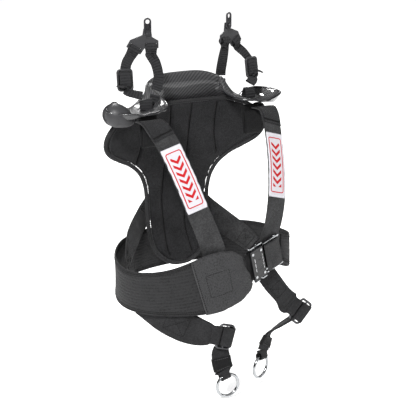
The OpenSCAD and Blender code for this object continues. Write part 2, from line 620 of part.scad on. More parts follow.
module tether_base(side) {
    color(dark_webbing) {
        ribbon(of_side(rear_base, side), 2 * tether_t, 3);
        ribbon(of_side(front_base, side), tether_t, 4);
    }
}
lock_at = [141, 66, 353];
lock_w = 30;
lock_h = 40;
lock_t = 4;
module ladder_lock(side) {
    color(black_metal) mirror([side == "right" ? 1 : 0, 0, 0]) translate(lock_at)
        rotate([0, 0, 10]) rotate([-8, 0, 0]) rotate([90, 0, 0]) difference() {
            translate([-lock_w / 2, -lock_h / 2, -lock_t / 2]) cube([lock_w, lock_h, lock_t]);
            for (z = [-15, -2.5, 10])
                translate([-slot_len / 2, z, -lock_t]) cube([slot_len, 5, 2 * lock_t]);
        }
}
module tether_anchor(side) {
    front = side == "right" ? [-112, 41, 298] : [119, 41, 297];
    rear = side == "right" ? [-90, 47, 304] : [100, 100, 303];
    color(black_metal) {
        translate(front) rotate([0, 4, 0]) cylinder(d = 16, h = 2.5, $fn = 36);
        translate(rear) cylinder(d = 12, h = 3, $fn = 36);
    }
}
module anchor_screws() {
    color(steel) for (side = SIDES) {
        front = side == "right" ? [-112, 41, 300.5] : [119, 41, 299.5];
        translate(front) rotate([0, 4, 0]) cylinder(d = 8, h = 1.6, $fn = 32);
    }
}

yoke_shell();
shoulder_roll("right");  // shoulder_roll_right
shoulder_roll("left");  // shoulder_roll_left
back_pad_cover();
back_pad_foam();
back_pad_binding();
shoulder_strap("right");  // shoulder_strap_right
shoulder_strap("left");  // shoulder_strap_left
strap_cuff("right");  // strap_cuff_right
strap_cuff("left");  // strap_cuff_left
strap_label("right");  // strap_label_right
strap_label("left");  // strap_label_left
strap_keeper("right");  // strap_keeper_right
strap_keeper("left");  // strap_keeper_left
belt_panel_right();
belt_panel_left();
belt_panel_back();
belt_cover_right();
belt_end_left();
back_strap("right");  // back_strap_right
back_strap("left");  // back_strap_left
lap_tab("right");  // lap_tab_right
lap_tab("left");  // lap_tab_left
triglide("right");  // triglide_right
triglide("left");  // triglide_left
ring_strap("right");  // ring_strap_right
ring_strap("left");  // ring_strap_left
ring_sleeve("right");  // ring_sleeve_right
ring_sleeve("left");  // ring_sleeve_left
lap_ring("right");  // ring_right
lap_ring("left");  // ring_left
buckle_base();
buckle_cover();
buckle_tongue();
buckle_adjust_bar();
buckle_clip(true);  // buckle_clip_top
buckle_clip(false);  // buckle_clip_bottom
buckle_spring(true);  // buckle_spring_top
buckle_spring(false);  // buckle_spring_bottom
buckle_rivets();
helmet_clip("right");  // helmet_clip_right
helmet_clip("left");  // helmet_clip_left
clip_rivet("right");  // clip_rivet_right
clip_rivet("left");  // clip_rivet_left
y_link("right");  // y_link_right
y_link("left");  // y_link_left
tether_rear("right");  // tether_rear_right
tether_rear("left");  // tether_rear_left
tether_front("right");  // tether_front_right
tether_front("left");  // tether_front_left
ladder_lock("right");  // ladder_lock_right
ladder_lock("left");  // ladder_lock_left
tether_tail("right");  // tether_tail_right
tether_tail("left");  // tether_tail_left
tether_base("right");  // tether_base_right
tether_base("left");  // tether_base_left
tether_anchor("right");  // tether_anchor_right
tether_anchor("left");  // tether_anchor_left
anchor_screws();
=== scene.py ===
import math

import bmesh
import bpy
import numpy as np
from mathutils import Matrix, Vector


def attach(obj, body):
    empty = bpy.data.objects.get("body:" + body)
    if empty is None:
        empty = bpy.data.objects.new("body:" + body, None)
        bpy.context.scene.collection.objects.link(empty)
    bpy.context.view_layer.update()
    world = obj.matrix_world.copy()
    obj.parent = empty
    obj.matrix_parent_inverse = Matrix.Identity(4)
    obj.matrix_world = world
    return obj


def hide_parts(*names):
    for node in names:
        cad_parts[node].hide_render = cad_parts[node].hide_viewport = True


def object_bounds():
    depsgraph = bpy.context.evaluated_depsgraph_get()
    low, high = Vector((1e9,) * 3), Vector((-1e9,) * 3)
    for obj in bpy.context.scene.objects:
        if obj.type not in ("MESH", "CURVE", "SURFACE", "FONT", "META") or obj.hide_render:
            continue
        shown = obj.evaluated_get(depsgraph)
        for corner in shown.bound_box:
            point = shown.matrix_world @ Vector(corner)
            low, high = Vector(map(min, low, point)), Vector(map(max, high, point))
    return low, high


# Looks of a head-and-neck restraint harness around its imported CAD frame.
# The wearer faces -Y and +X is the wearer's left. Rows of points are in millimetres,
# as in the part's source, and MM turns them into Blender's metres.

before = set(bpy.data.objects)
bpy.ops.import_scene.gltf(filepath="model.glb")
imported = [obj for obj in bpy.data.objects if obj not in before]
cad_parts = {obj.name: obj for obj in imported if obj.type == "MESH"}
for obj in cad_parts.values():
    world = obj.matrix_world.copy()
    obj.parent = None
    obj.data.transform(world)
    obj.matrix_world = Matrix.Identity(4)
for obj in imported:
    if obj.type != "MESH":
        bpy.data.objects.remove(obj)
cad_low, cad_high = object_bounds()
MM = 0.001
SIDES = ("right", "left")


# ---- Curves and grids ----

def unit(v):
    v = np.asarray(v, float)
    return v / np.linalg.norm(v)


def unit_rows(v):
    return v / np.maximum(np.linalg.norm(v, axis=-1, keepdims=True), 1e-9)


def smooth(rows, steps):
    """Catmull-Rom curve through rows of numbers, with steps points from each row to the next."""
    rows = np.asarray(rows, float)
    padded = np.concatenate([rows[:1], rows, rows[-1:]])
    out = []
    for a, b, c, d in zip(padded, padded[1:], padded[2:], padded[3:]):
        for t in np.arange(steps) / steps:
            out.append(0.5 * (2 * b + (c - a) * t + (2 * a - 5 * b + 4 * c - d) * t * t
                              + (3 * b - a - 3 * c + d) * t ** 3))
    out.append(rows[-1])
    return np.array(out)


def sided(rows, side):
    """A left strap's rows, or their mirror image for the right side."""
    rows = np.array(rows, float)
    if side == "right":
        rows[:, [0, 4, 5]] *= -1
    return rows


def sign_of(side):
    return -1 if side == "right" else 1


def lengths(points):
    """The length along a polyline at each of its points."""
    return np.concatenate([[0], np.cumsum(np.linalg.norm(np.diff(points[:, :3], axis=0), axis=1))])


def resample(points, spacing):
    """Points a fixed distance apart along a polyline, with the length at each."""
    points = np.asarray(points, float)
    arc = lengths(points)
    s = np.linspace(0, arc[-1], max(3, int(arc[-1] / spacing) + 1))
    return np.stack([np.interp(s, arc, points[:, k]) for k in range(points.shape[1])], 1), s


def wide(rows, width):
    """Strap rows that share one width."""
    return [[*row, width] for row in rows]


def steady(points, across, width):
    """Strap rows that share one width direction and one width."""
    return wide([[*p, *across] for p in points], width)


def hung(rows):
    """Strap rows from [x, y, z, width, lean]: the width hangs down, leaning in x."""
    return [[x, y, z, *(lean or [0]), 0, -1, width] for x, y, z, width, *lean in rows]


# ---- Mesh making ----

def grid_faces(rows, columns, close=True, start=0):
    """Quads over a grid whose columns wrap round if close."""
    faces = []
    last = columns if close else columns - 1
    for i in range(rows - 1):
        for j in range(last):
            a, b = i * columns + j, i * columns + (j + 1) % columns
            faces.append((start + a, start + b, start + b + columns, start + a + columns))
    return faces


def caps(rows, columns, start=0):
    """The two end faces of a grid that is closed round."""
    last = start + (rows - 1) * columns
    return [tuple(range(start, start + columns))[::-1], tuple(range(last, last + columns))]


def rim_of(rows, columns):
    """The outer points of an open grid, in order."""
    last = (rows - 1) * columns
    return [*range(columns), *(i * columns + columns - 1 for i in range(1, rows)),
            *(last + j for j in range(columns - 2, -1, -1)), *(i * columns for i in range(rows - 2, 0, -1))]


def slab(at, corners, y0, y1):
    """A flat plate between two depths, from (x, z) corners that at(x, y, z) places."""
    n = len(corners)
    points = np.array([at(x, y, z) for y in (y0, y1) for x, z in corners])
    faces = [tuple(range(n)), tuple(range(2 * n - 1, n - 1, -1))]
    faces += [(j, n + j, n + (j + 1) % n, (j + 1) % n) for j in range(n)]
    return points, faces, points


def show(name, data):
    """An object in the scene that holds this data."""
    made = bpy.data.objects.new(name, data)
    bpy.context.scene.collection.objects.link(made)
    return made


def build(name, parts, material, slot, *nodes, body="harness"):
    """One piece from parts of (points in mm, faces, cloth coordinates in mm)."""
    points = np.concatenate([p[0] for p in parts])
    cloth = np.concatenate([p[2] for p in parts])
    faces, start = [], 0
    for p in parts:
        faces += [tuple(start + i for i in f) for f in p[1]]
        start += len(p[0])
    mesh = bpy.data.meshes.new(name)
    mesh.from_pydata((points * MM).tolist(), [], faces)
    mesh.polygons.foreach_set("use_smooth", [len(f) < 5 for f in faces])
    attribute = mesh.attributes.new("cloth", "FLOAT_VECTOR", "POINT")
    attribute.data.foreach_set("vector", (cloth * MM).astype(np.float32).ravel())
    mesh.materials.append(material)
    solid = bmesh.new()
    solid.from_mesh(mesh)
    bmesh.ops.recalc_face_normals(solid, faces=solid.faces)
    solid.to_mesh(mesh)
    solid.free()
    return place(show(name, mesh), body, nodes)


def place(piece, body, nodes):
    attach(piece, body)
    if nodes:
        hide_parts(*nodes)
    return piece


TUBE_UP = (0, 1, 0.01)


def tube(path, radius, sides=12, closed=False, spacing=2.0, flat=1.0):
    """A round tube along a path; flat squashes it along TUBE_UP."""
    path = np.asarray(path, float)
    if closed:
        path = np.concatenate([path, path[:1]])
    path, s = resample(path, spacing)
    if closed:
        path, s = path[:-1], s[:-1]
        t = unit_rows(np.roll(path, -1, 0) - np.roll(path, 1, 0))
    else:
        t = unit_rows(np.gradient(path, axis=0))
    a = unit_rows(np.cross(t, TUBE_UP))
    b = np.cross(t, a)
    radii = np.interp(s / s[-1], np.linspace(0, 1, len(np.atleast_1d(radius))),
                      np.atleast_1d(radius).astype(float))
    angle = 2 * math.pi * np.arange(sides) / sides
    ring = (a[:, None] * np.cos(angle)[None, :, None]
            + flat * b[:, None] * np.sin(angle)[None, :, None])
    points = path[:, None] + radii[:, None, None] * ring
    cloth = np.stack([np.broadcast_to(angle * radii.mean(), (len(s), sides)),
                      np.broadcast_to(s[:, None], (len(s), sides)),
                      np.zeros((len(s), sides))], -1)
    n = len(path)
    faces = grid_faces(n, sides)
    if closed:
        faces += [((n - 1) * sides + j, (n - 1) * sides + (j + 1) % sides, (j + 1) % sides, j)
                  for j in range(sides)]
    else:
        faces += caps(n, sides)
    return points.reshape(-1, 3), faces, cloth.reshape(-1, 3)


class Strap:
    """Webbing along rows of [x, y, z, width direction, width] in millimetres."""

    def __init__(self, rows, thick, spacing=2.0):
        table, self.s = resample(smooth(rows, 16), spacing)
        self.thick = thick
        self.centre, self.width = table[:, :3], table[:, 6]
        self.length = self.s[-1]
        t = unit_rows(np.gradient(self.centre, axis=0))
        w = table[:, 3:6]
        self.w = unit_rows(w - (w * t).sum(1)[:, None] * t)
        self.n = np.cross(t, self.w)
        self.offset = None

    def _at(self, values, s):
        return np.stack([np.interp(s, self.s, values[:, k]) for k in range(3)], -1)

    def lift(self, s, a):
        return self.offset(s, a) if self.offset else 0.0 * s

    def face(self, s, a, side=1, lift=0.0):
        """Points on a face at distance s along and a across, and the normals there."""
        s, a = np.asarray(s, float), np.asarray(a, float)
        n = unit_rows(self._at(self.n, s))
        out = side * (self.thick / 2 + lift) + self.lift(s, a)
        return (self._at(self.centre, s) + a[..., None] * self._at(self.w, s)
                + out[..., None] * n), side * n

    def part(self, across=12, swell=None, edge=None, offset=None):
        """The mesh: swell thickens it at (s, a), offset bends it off its centre, edge widens it at s."""
        self.offset = offset
        width = self.width + (edge(self.s) if edge else 0)
        r = min(self.thick / 2, 1.4)
        flat = width / 2 - r
        u = np.linspace(-1, 1, across + 1)
        bends = np.radians([60, 20, -20, -60])
        top_a = flat[:, None] * u
        right_a = flat[:, None] + r * np.cos(bends)
        a = np.concatenate([top_a, right_a, top_a[:, ::-1], -right_a[:, ::-1]], 1)
        h = self.thick / 2
        b = np.concatenate([np.full(across + 1, h), h * np.sin(bends),
                            np.full(across + 1, -h), -h * np.sin(bends[::-1])])
        s = np.broadcast_to(self.s[:, None], a.shape)
        b = np.broadcast_to(b, a.shape).copy()
        if swell:
            b += np.sign(b) * swell(s, a) * (np.abs(b) > 0.9 * h)
        out = b + self.lift(s, a)
        points = self.centre[:, None] + a[..., None] * self.w[:, None] + out[..., None] * self.n[:, None]
        rows, columns = a.shape
        faces = [f[::-1] for f in grid_faces(rows, columns) + caps(rows, columns)]
        return points.reshape(-1, 3), faces, np.stack([a, s, b], -1).reshape(-1, 3)


def hairpin(c, t, n, w, r, width, tail, gap):
    """Rows of webbing folded round a bar at c, as in the part's source."""
    arc = [(r * math.cos(x), r * math.sin(x)) for x in np.radians([75, 50, 25, 0, -25, -50, -75])]
    path = [(-tail, gap / 2), (-0.7 * tail, gap / 2 + 0.4), (-2, r), *arc,
            (-2, -r), (-0.7 * tail, -gap / 2 - 0.4), (-tail, -gap / 2)]
    return steady([c + p * t + q * n for p, q in path], w, width)


# ---- Stitching ----

STITCH = 3.0
STITCH_GAP = 1.1


def thread(path, normals, radius=0.55, stitch=STITCH, gap=STITCH_GAP):
    """A row of sewn stitches along a path on a surface."""
    both, _ = resample(np.concatenate([path, normals], 1), 0.4)
    path, normals = both[:, :3], unit_rows(both[:, 3:])
    arc = lengths(path)
    at = lambda v, s: np.array([np.interp(s, arc, v[:, k]) for k in range(3)])
    points, faces = [], []
    for s in np.arange(0, arc[-1] - stitch * 0.8, stitch + gap):
        p, q = at(path, s), at(path, min(s + stitch, arc[-1]))
        n = unit(at(normals, s + stitch / 2))
        side = unit(np.cross(q - p, n))
        start = len(points)
        for f, size in ((0, 0.3), (0.15, 0.9), (0.5, 1.1), (0.85, 0.9), (1, 0.3)):
            c = p + f * (q - p) + n * radius * (0.2 if f in (0, 1) else 0.45)
            for angle in np.radians([0, 60, 120, 180, 240, 300]):
                points.append(c + radius * size * (side * math.cos(angle) + 0.8 * n * math.sin(angle)))
        faces += grid_faces(5, 6, True, start) + caps(5, 6, start)
    points = np.array(points).reshape(-1, 3)
    return points, faces, points


def seam(strap, path, side=1, step=1.5, **kind):
    """Stitches along a path of (s, a) points on a strap's face."""
    track, _ = resample(np.array([[s, a, 0] for s, a in path], float), step)
    points, normals = strap.face(track[:, 0], track[:, 1], side)
    return thread(points, normals, **kind)


def both_faces(strap, path):
    """The same seam on a strap's front and back."""
    return [seam(strap, path, face) for face in (1, -1)]


def across_at(s, half):
    """The path of a straight seam across a strap."""
    return [(s, -half), (s, half)]


def box_x(s0, s1, a0, a1):
    """The path of a sewn box with a cross in it."""
    return [(s0, a0), (s1, a0), (s1, a1), (s0, a1), (s0, a0), (s1, a1), (s1, a0), (s0, a1)]


def zigzag(s, reach, half, count):
    """A zigzag across a strap at distance s."""
    return [(s + reach * (k % 2), -half + 2 * half * k / count) for k in range(count + 1)]


# ---- Materials ----

class Shader:
    """A Principled material with short ways to wire procedural detail."""

    def __init__(self, name, roughness, metallic=0.0, **sockets):
        self.material = bpy.data.materials.new(name)
        self.material.use_nodes = True
        self.tree = self.material.node_tree
        self.bsdf = self.tree.nodes["Principled BSDF"]
        self.set("Roughness", roughness)
        self.set("Metallic", metallic)
        for key, value in sockets.items():
            self.set(key.replace("_", " "), value)

    def set(self, socket, value):
        target = self.bsdf.inputs[socket]
        if isinstance(value, bpy.types.NodeSocket):
            self.tree.links.new(value, target)
        elif isinstance(value, tuple):
            target.default_value = (*value, 1.0)
        else:
            target.default_value = value

    def node(self, kind, **settings):
        made = self.tree.nodes.new("ShaderNode" + kind)
        for key, value in settings.items():
            setattr(made, key, value)
        return made

    def fill(self, node, key, value):
        if isinstance(value, bpy.types.NodeSocket):
            self.tree.links.new(value, node.inputs[key])
        else:
            node.inputs[key].default_value = value

    def math(self, operation, *values):
        made = self.node("Math", operation=operation)
        for k, value in enumerate(values):
            self.fill(made, k, value)
        return made.outputs[0]

    def add(self, a, b):
        return self.math("ADD", a, b)

    def sub(self, a, b):
        return self.math("SUBTRACT", a, b)

    def mul(self, a, b):
        return self.math("MULTIPLY", a, b)

    def cloth(self):
        """Distances across and along a strap, in metres."""
        vector = self.node("Attribute", attribute_name="cloth").outputs["Vector"]
        split = self.node("SeparateXYZ")
        self.fill(split, 0, vector)
        return split.outputs[0], split.outputs[1], vector

    def place(self):
        """The object's own coordinates, for pieces with no strap coordinates."""
        vector = self.node("TexCoord").outputs["Object"]
        split = self.node("SeparateXYZ")
        self.fill(split, 0, vector)
        return split.outputs["X"], split.outputs["Z"], vector

    def noise(self, vector, scale, detail=3.0):
        made = self.node("TexNoise")
        self.fill(made, "Vector", vector)
        self.fill(made, "Scale", scale)
        self.fill(made, "Detail", detail)
        return made.outputs[0]

    def mix(self, factor, a, b):
        made = self.node("Mix", data_type="RGBA")
        self.fill(made, 0, factor)
        for key, value in ((6, a), (7, b)):
            self.fill(made, key, (*value, 1.0) if isinstance(value, tuple) else value)
        return made.outputs[2]

    def span(self, value, low, high, to_low=0.0, to_high=1.0):
        made = self.node("MapRange")
        for key, x in enumerate((value, low, high, to_low, to_high)):
            self.fill(made, key, x)
        return made.outputs[0]

    def bump(self, height, distance, strength=1.0):
        made = self.node("Bump")
        self.fill(made, "Height", height)
        self.fill(made, "Distance", distance)
        self.fill(made, "Strength", strength)
        self.set("Normal", made.outputs[0])


def twill(s, u, v, thread_width):
    """Height of a twill weave and the share that the warp shows."""
    a, b = s.math("DIVIDE", u, thread_width), s.math("DIVIDE", v, thread_width)
    step = s.add(s.math("FLOOR", a), s.math("FLOOR", b))
    warp_over = s.math("LESS_THAN", s.math("FLOORED_MODULO", step, 4.0), 1.5)
    warp = s.math("SINE", s.mul(s.math("FRACT", a), math.pi))
    weft = s.math("SINE", s.mul(s.math("FRACT", b), math.pi))
    height = s.add(s.mul(warp, warp_over),
                    s.mul(weft, s.sub(1.0, warp_over)))
    return height, warp_over


def shade(colour, k):
    return tuple(c * k for c in colour)


def woven(name, colour, thread_width=0.0011, depth=0.0003, ribs=None, weave_shade=0.5, sheen=0.25,
          planar=False, fuzz=0.35):
    """Woven webbing or fabric: twill, optional (pitch, share, along) ribs, mottling and lint, with painted
    shade in the weave's hollows.
    """
    s = Shader(name, 0.82, **{"Sheen_Weight": sheen, "Sheen_Roughness": 0.45,
                                   "Specular_IOR_Level": 0.12})
    u, v, vector = s.place() if planar else s.cloth()
    height, _ = twill(s, u, v, thread_width)
    if ribs:
        pitch, share, along = ribs
        turn = s.mul(v if along else u, math.pi / pitch)
        rib = s.math("ABSOLUTE", s.math("SINE", turn))
        height = s.add(s.mul(height, 1 - share), s.mul(rib, share))
    lint = s.noise(vector, 900.0, 4.0)
    mottle = s.noise(vector, 28.0, 4.0)
    speckle = s.span(s.noise(vector, 330.0, 6.0), 0.38, 0.62, -0.5, 0.5)
    # Painted shade: the base colour follows the weave and rib height, darker in the hollows and lighter on
    # the thread crowns.
    tone = s.add(s.mul(height, weave_shade), s.mul(lint, fuzz))
    tone = s.add(tone, s.mul(s.sub(mottle, 0.5), 1.1))
    tone = s.add(tone, s.mul(speckle, fuzz))
    s.set("Base Color", s.mix(s.span(tone, 0.0, 1.0), shade(colour, 0.42), shade(colour, 1.6)))
    s.bump(s.add(height, s.mul(lint, 0.4)), depth)
    return s.material


def carbon_twill():
    """Clear-coated carbon: glossy twill whose warp and weft take the light differently, painted as a
    lighter base colour on the warp (painted sheen).
    """
    s = Shader("carbon_twill", 0.34, 0.0, **{"Coat_Weight": 0.75, "Coat_Roughness": 0.05,
                                             "Specular_IOR_Level": 0.4})
    u, v, vector = s.cloth()
    height, warp_over = twill(s, u, v, 0.0019)
    fibre = s.noise(vector, 1500.0, 2.0)
    # Painted sheen: the warp gets a lighter base colour than the weft, standing in for the highlights the
    # fibres catch.
    tone = s.add(s.mul(warp_over, 0.62), s.mul(fibre, 0.3))
    s.set("Base Color", s.mix(tone, (0.003, 0.003, 0.0035), (0.06, 0.06, 0.063)))
    s.bump(height, 0.00035, 0.8)
    return s.material


def gloss_black(name="gloss_black", base=(0.005, 0.005, 0.006), roughness=0.2, coat=0.4):
    s = Shader(name, roughness, 0.0, **{"Coat_Weight": coat, "Coat_Roughness": 0.08,
                                        "Specular_IOR_Level": 0.4})
    _, _, vector = s.place()
    s.set("Base Color", s.mix(s.noise(vector, 60.0), base, shade(base, 2.2)))
    s.bump(s.noise(vector, 700.0), 0.0001, 0.3)
    return s.material


def metal(name, colour, roughness, wear=0.0):
    """Plated or blackened metal with fine scratches, duller patches and brighter edges."""
    s = Shader(name, roughness, 1.0)
    _, _, vector = s.place()
    patches = s.noise(vector, 90.0, 5.0)
    scratches = s.noise(vector, 2200.0, 2.0)
    colour_out = s.mix(patches, shade(colour, 0.8), shade(colour, 1.1))
    if wear:
        edge = s.span(s.node("NewGeometry").outputs["Pointiness"], 0.52, 0.60)
        colour_out = s.mix(s.mul(edge, wear), colour_out, (0.55, 0.55, 0.57))
    s.set("Base Color", colour_out)
    s.set("Roughness", s.span(patches, 0.3, 0.7, roughness * 0.75, roughness * 1.35))
    s.bump(scratches, 0.00006, 0.5)
    return s.material


def plastic(name, colour, roughness):
    s = Shader(name, roughness, 0.0, **{"Specular_IOR_Level": 0.3})
    _, _, vector = s.place()
    grain = s.noise(vector, 1600.0, 2.0)
    s.set("Base Color", s.mix(s.noise(vector, 45.0), shade(colour, 0.75), shade(colour, 1.3)))
    s.set("Roughness", s.span(grain, 0.3, 0.7, roughness * 0.85, roughness * 1.15))
    s.bump(grain, 0.00012, 0.6)
    return s.material


def label_satin(length):
    """White satin with a red outlined box and plain red chevrons, and no words."""
    s = Shader("label_satin", 0.5, 0.0, **{"Sheen_Weight": 0.05, "Specular_IOR_Level": 0.2})
    u, v, vector = s.cloth()
    half_w, half_l, line = 0.0152, 0.053, 0.0021
    along = s.math("ABSOLUTE", s.sub(v, length / 2))
    across = s.math("ABSOLUTE", u)
    corner = 0.004
    dx = s.math("MAXIMUM", s.sub(across, half_w - corner), 0.0)
    dy = s.math("MAXIMUM", s.sub(along, half_l - corner), 0.0)
    reach = s.math("SQRT", s.add(s.mul(dx, dx), s.mul(dy, dy)))
    flat = s.math("MAXIMUM", s.sub(across, half_w), s.sub(along, half_l))
    curved = s.sub(reach, corner)
    in_corner = s.mul(s.math("GREATER_THAN", dx, 0.0), s.math("GREATER_THAN", dy, 0.0))
    distance = s.add(s.mul(curved, in_corner),
                      s.mul(flat, s.sub(1.0, in_corner)))
    outline = s.math("LESS_THAN", s.math("ABSOLUTE", distance), line / 2)
    lean = s.add(v, s.mul(across, 0.9))
    stripes = s.math("LESS_THAN", s.math("FRACT", s.math("DIVIDE", lean, 0.0135)), 0.48)
    inside = s.mul(s.math("LESS_THAN", across, 0.0105), s.math("LESS_THAN", along, 0.043))
    red = s.math("MAXIMUM", outline, s.mul(stripes, inside))
    weave, _ = twill(s, u, v, 0.0006)
    mottle = s.noise(vector, 120.0)
    white = s.mix(mottle, (0.44, 0.43, 0.46), (0.56, 0.55, 0.58))
    s.set("Base Color", s.mix(red, white, (0.40, 0.004, 0.008)))
    s.bump(s.add(weave, s.mul(mottle, 2.0)), 0.00012, 0.7)
    return s.material


STRAP_WEB = woven("strap_webbing", (0.032, 0.032, 0.033), 0.0012, 0.00025, None, 0.45, sheen=0.08)
DARK_WEB = woven("dark_webbing", (0.009, 0.009, 0.0095), 0.0012, 0.0003, None, 0.5, sheen=0.04)
FOLD_WEB = woven("fold_webbing", (0.017, 0.017, 0.018), 0.0012, 0.0003, None, 0.5, sheen=0.06)
BELT_WEB = woven("belt_webbing", (0.015, 0.015, 0.0155), 0.0024, 0.0008, (0.0060, 0.55, False), 1.0,
                 sheen=0.06, fuzz=0.7)
LAP_WEB = woven("lap_webbing", (0.018, 0.018, 0.019), 0.0013, 0.0004, None, 0.6, sheen=0.06)
COVER_FABRIC = woven("belt_fabric", (0.028, 0.028, 0.029), 0.0017, 0.0007, None, 0.8, sheen=0.08,
                     fuzz=1.1)
TETHER_WEB = woven("tether_webbing", (0.015, 0.015, 0.016), 0.0010, 0.0005, (0.0052, 0.7, True), 1.0,
                   sheen=0.05)
PAD_FABRIC = woven("pad_fabric", (0.014, 0.014, 0.015), 0.0011, 0.0003, None, 0.5, planar=True,
                   sheen=0.06, fuzz=0.5)
BINDING = woven("edge_binding", (0.022, 0.022, 0.023), 0.0009, 0.0003, (0.0018, 0.5, True), 0.5,
                sheen=0.05)
ROLL_COVER = plastic("roll_cover", (0.030, 0.030, 0.032), 0.46)
THREAD_DARK = plastic("thread_dark", (0.0015, 0.0015, 0.0015), 0.9)
THREAD_GREY = plastic("thread_grey", (0.045, 0.045, 0.047), 0.7)
CARBON = carbon_twill()
RIM_BLACK = gloss_black()
CHROME = metal("chrome", (0.40, 0.41, 0.42), 0.16)
BLACK_STEEL = metal("black_steel", (0.045, 0.045, 0.048), 0.34, wear=0.3)
PLATE_BLACK = gloss_black("buckle_black", (0.004, 0.004, 0.0045), 0.30, 0.1)
LINK_PLASTIC = plastic("link_plastic", (0.026, 0.026, 0.028), 0.38)
MARK_WHITE = plastic("mark_white", (0.7, 0.7, 0.72), 0.5)


# ---- Yoke ----

YOKE_SECTIONS = [
    [[0, 112, 344], [0, 103, 352], [0, 96, 334], [0, 98, 310], [0, 102, 292], [0, 108, 272]],
    [[46, 109, 343], [47, 100, 350], [49, 93, 332], [53, 96, 310], [57, 100, 292], [62, 107, 272]],
    [[78, 98, 334], [80, 90, 339], [86, 84, 322], [98, 88, 305], [108, 93, 292], [120, 100, 282]],
    [[76, 74, 322], [82, 68, 323], [98, 66, 306], [120, 72, 296], [136, 80, 292], [150, 88, 306]],
    [[70, 50, 311], [78, 47, 311], [100, 46, 300], [140, 52, 292], [166, 58, 287], [176, 62, 309]],
    [[74, 28, 305], [82, 27, 306], [108, 26, 297], [142, 30, 291], [172, 34, 285], [193, 38, 302]],
    [[84, 10, 302], [92, 8, 303], [114, 7, 297], [136, 9, 294], [154, 12, 290], [168, 17, 298]],
    [[98, -2, 301], [104, -3, 301], [116, -5, 298], [128, -4, 297], [139, -1, 296], [148, 4, 298]]]
SHELL_T = 3
BULB_R = 22


def yoke():
    sections = np.array(YOKE_SECTIONS, float)
    mirrored = sections[:0:-1] * (-1, 1, 1)
    rows = np.concatenate([mirrored, sections])
    columns = np.stack([smooth(rows[:, j], 9) for j in range(rows.shape[1])])
    grid = np.stack([smooth(columns[:, i], 7) for i in range(columns.shape[1])])
    along = np.gradient(grid, axis=0)
    across = np.gradient(grid, axis=1)
    normal = unit_rows(np.cross(along, across))
    under = grid + SHELL_T * normal
    n, m = grid.shape[:2]
    u = np.cumsum(np.linalg.norm(along, axis=2), 0)
    u -= u[n // 2]
    v = np.cumsum(np.linalg.norm(across, axis=2), 1)
    cloth = np.stack([u, v, np.zeros_like(u)], -1)
    faces = grid_faces(n, m, False)
    half = n * m
    faces += [tuple(half + i for i in f[::-1]) for f in faces]
    rim = rim_of(n, m)
    for a, b in zip(rim, rim[1:] + rim[:1]):
        faces.append((a, half + a, half + b, b))
    points = np.concatenate([grid.reshape(-1, 3), under.reshape(-1, 3)])
    cloth = np.concatenate([cloth.reshape(-1, 3)] * 2)
    build("yoke_carbon", [(points, faces, cloth)], CARBON, "carbon", "yoke_shell")
    middle = (grid + under) / 2
    edge = middle.reshape(-1, 3)[rim]
    build("yoke_rim", [tube(edge, 2.3, 12, True)], RIM_BLACK, "carbon")


BULB_PATH = [[-145, 25, 282], [-152, 30, 284], [-164, 38, 290], [-174, 45, 294], [-172, 54, 293],
             [-162, 62, 290], [-154, 66, 288]]
ROLL_PATH = [[133, 18, 281], [136, 22, 281], [142, 34, 280], [140, 50, 281], [139, 54, 281]]


def shoulder_roll(side):
    path = smooth(BULB_PATH if side == "right" else ROLL_PATH, 8)
    size = BULB_R if side == "right" else 8
    radius = size * np.sin(np.linspace(0.10, math.pi - 0.10, 31)) ** 0.7
    piece = build(f"wing_roll_{side}", [tube(path, radius, 40, spacing=1.2)], ROLL_COVER, "roll_cover",
                  f"shoulder_roll_{side}")


# ---- Back pad ----

PAD_ROWS = np.array([
    [295, 92, 88], [290, 112, 89], [280, 138, 92], [265, 162, 96], [245, 177, 101], [225, 178, 106],
    [208, 166, 109], [193, 140, 112], [180, 114, 114], [160, 90, 117], [135, 76, 120], [105, 70, 122],
    [70, 69, 121], [35, 68, 117], [5, 62, 112], [-15, 50, 108], [-28, 34, 104], [-36, 14, 101]], float)
PAD_WRAP = 0.0009
PAD_EDGE = 2.4
PAD_CROWN = 3.6
PAD_VOXEL = 0.0042
# Sewn channels on the pad, as points of (x, z).
PAD_SEAMS = [[(-32, 291), (-29, 257), (-31, 210), (-33, 158), (-36, 96), (-34, 45), (-31, 2), (-26, -18)],
             [(16, 291), (17, 235), (17, 178), (18, 108), (15, 39), (20, 5), (26, -18)],
             [(-86, 284), (-88, 250), (-94, 209), (-101, 178)],
             [(72, 288), (72, 250), (76, 215), (84, 182)]]


def pad_middle(x, z):
    depth = np.interp(z, PAD_ROWS[::-1, 0], PAD_ROWS[::-1, 2])
    return depth - PAD_WRAP * x * x


def pad_outline(steps):
    right = PAD_ROWS[:, [1, 0]]
    left = PAD_ROWS[::-1, [1, 0]] * (-1, 1)
    return smooth(np.concatenate([right, left, right[:1]]), steps)[:-1]


def seam_distance(x, z, seam_points):
    best = np.full(x.shape, 1e9)
    line = smooth(seam_points, 6)
    for (x0, z0), (x1, z1) in zip(line, line[1:]):
        d = np.array([x1 - x0, z1 - z0])
        t = np.clip(((x - x0) * d[0] + (z - z0) * d[1]) / (d @ d), 0, 1)
        best = np.minimum(best, np.hypot(x - x0 - t * d[0], z - z0 - t * d[1]))
    return best


def apply_modifiers(obj):
    """Gives an object the mesh that its modifiers make, and takes them off."""
    graph = bpy.context.evaluated_depsgraph_get()
    obj.data = bpy.data.meshes.new_from_object(obj.evaluated_get(graph))
    obj.modifiers.clear()
    return obj.data


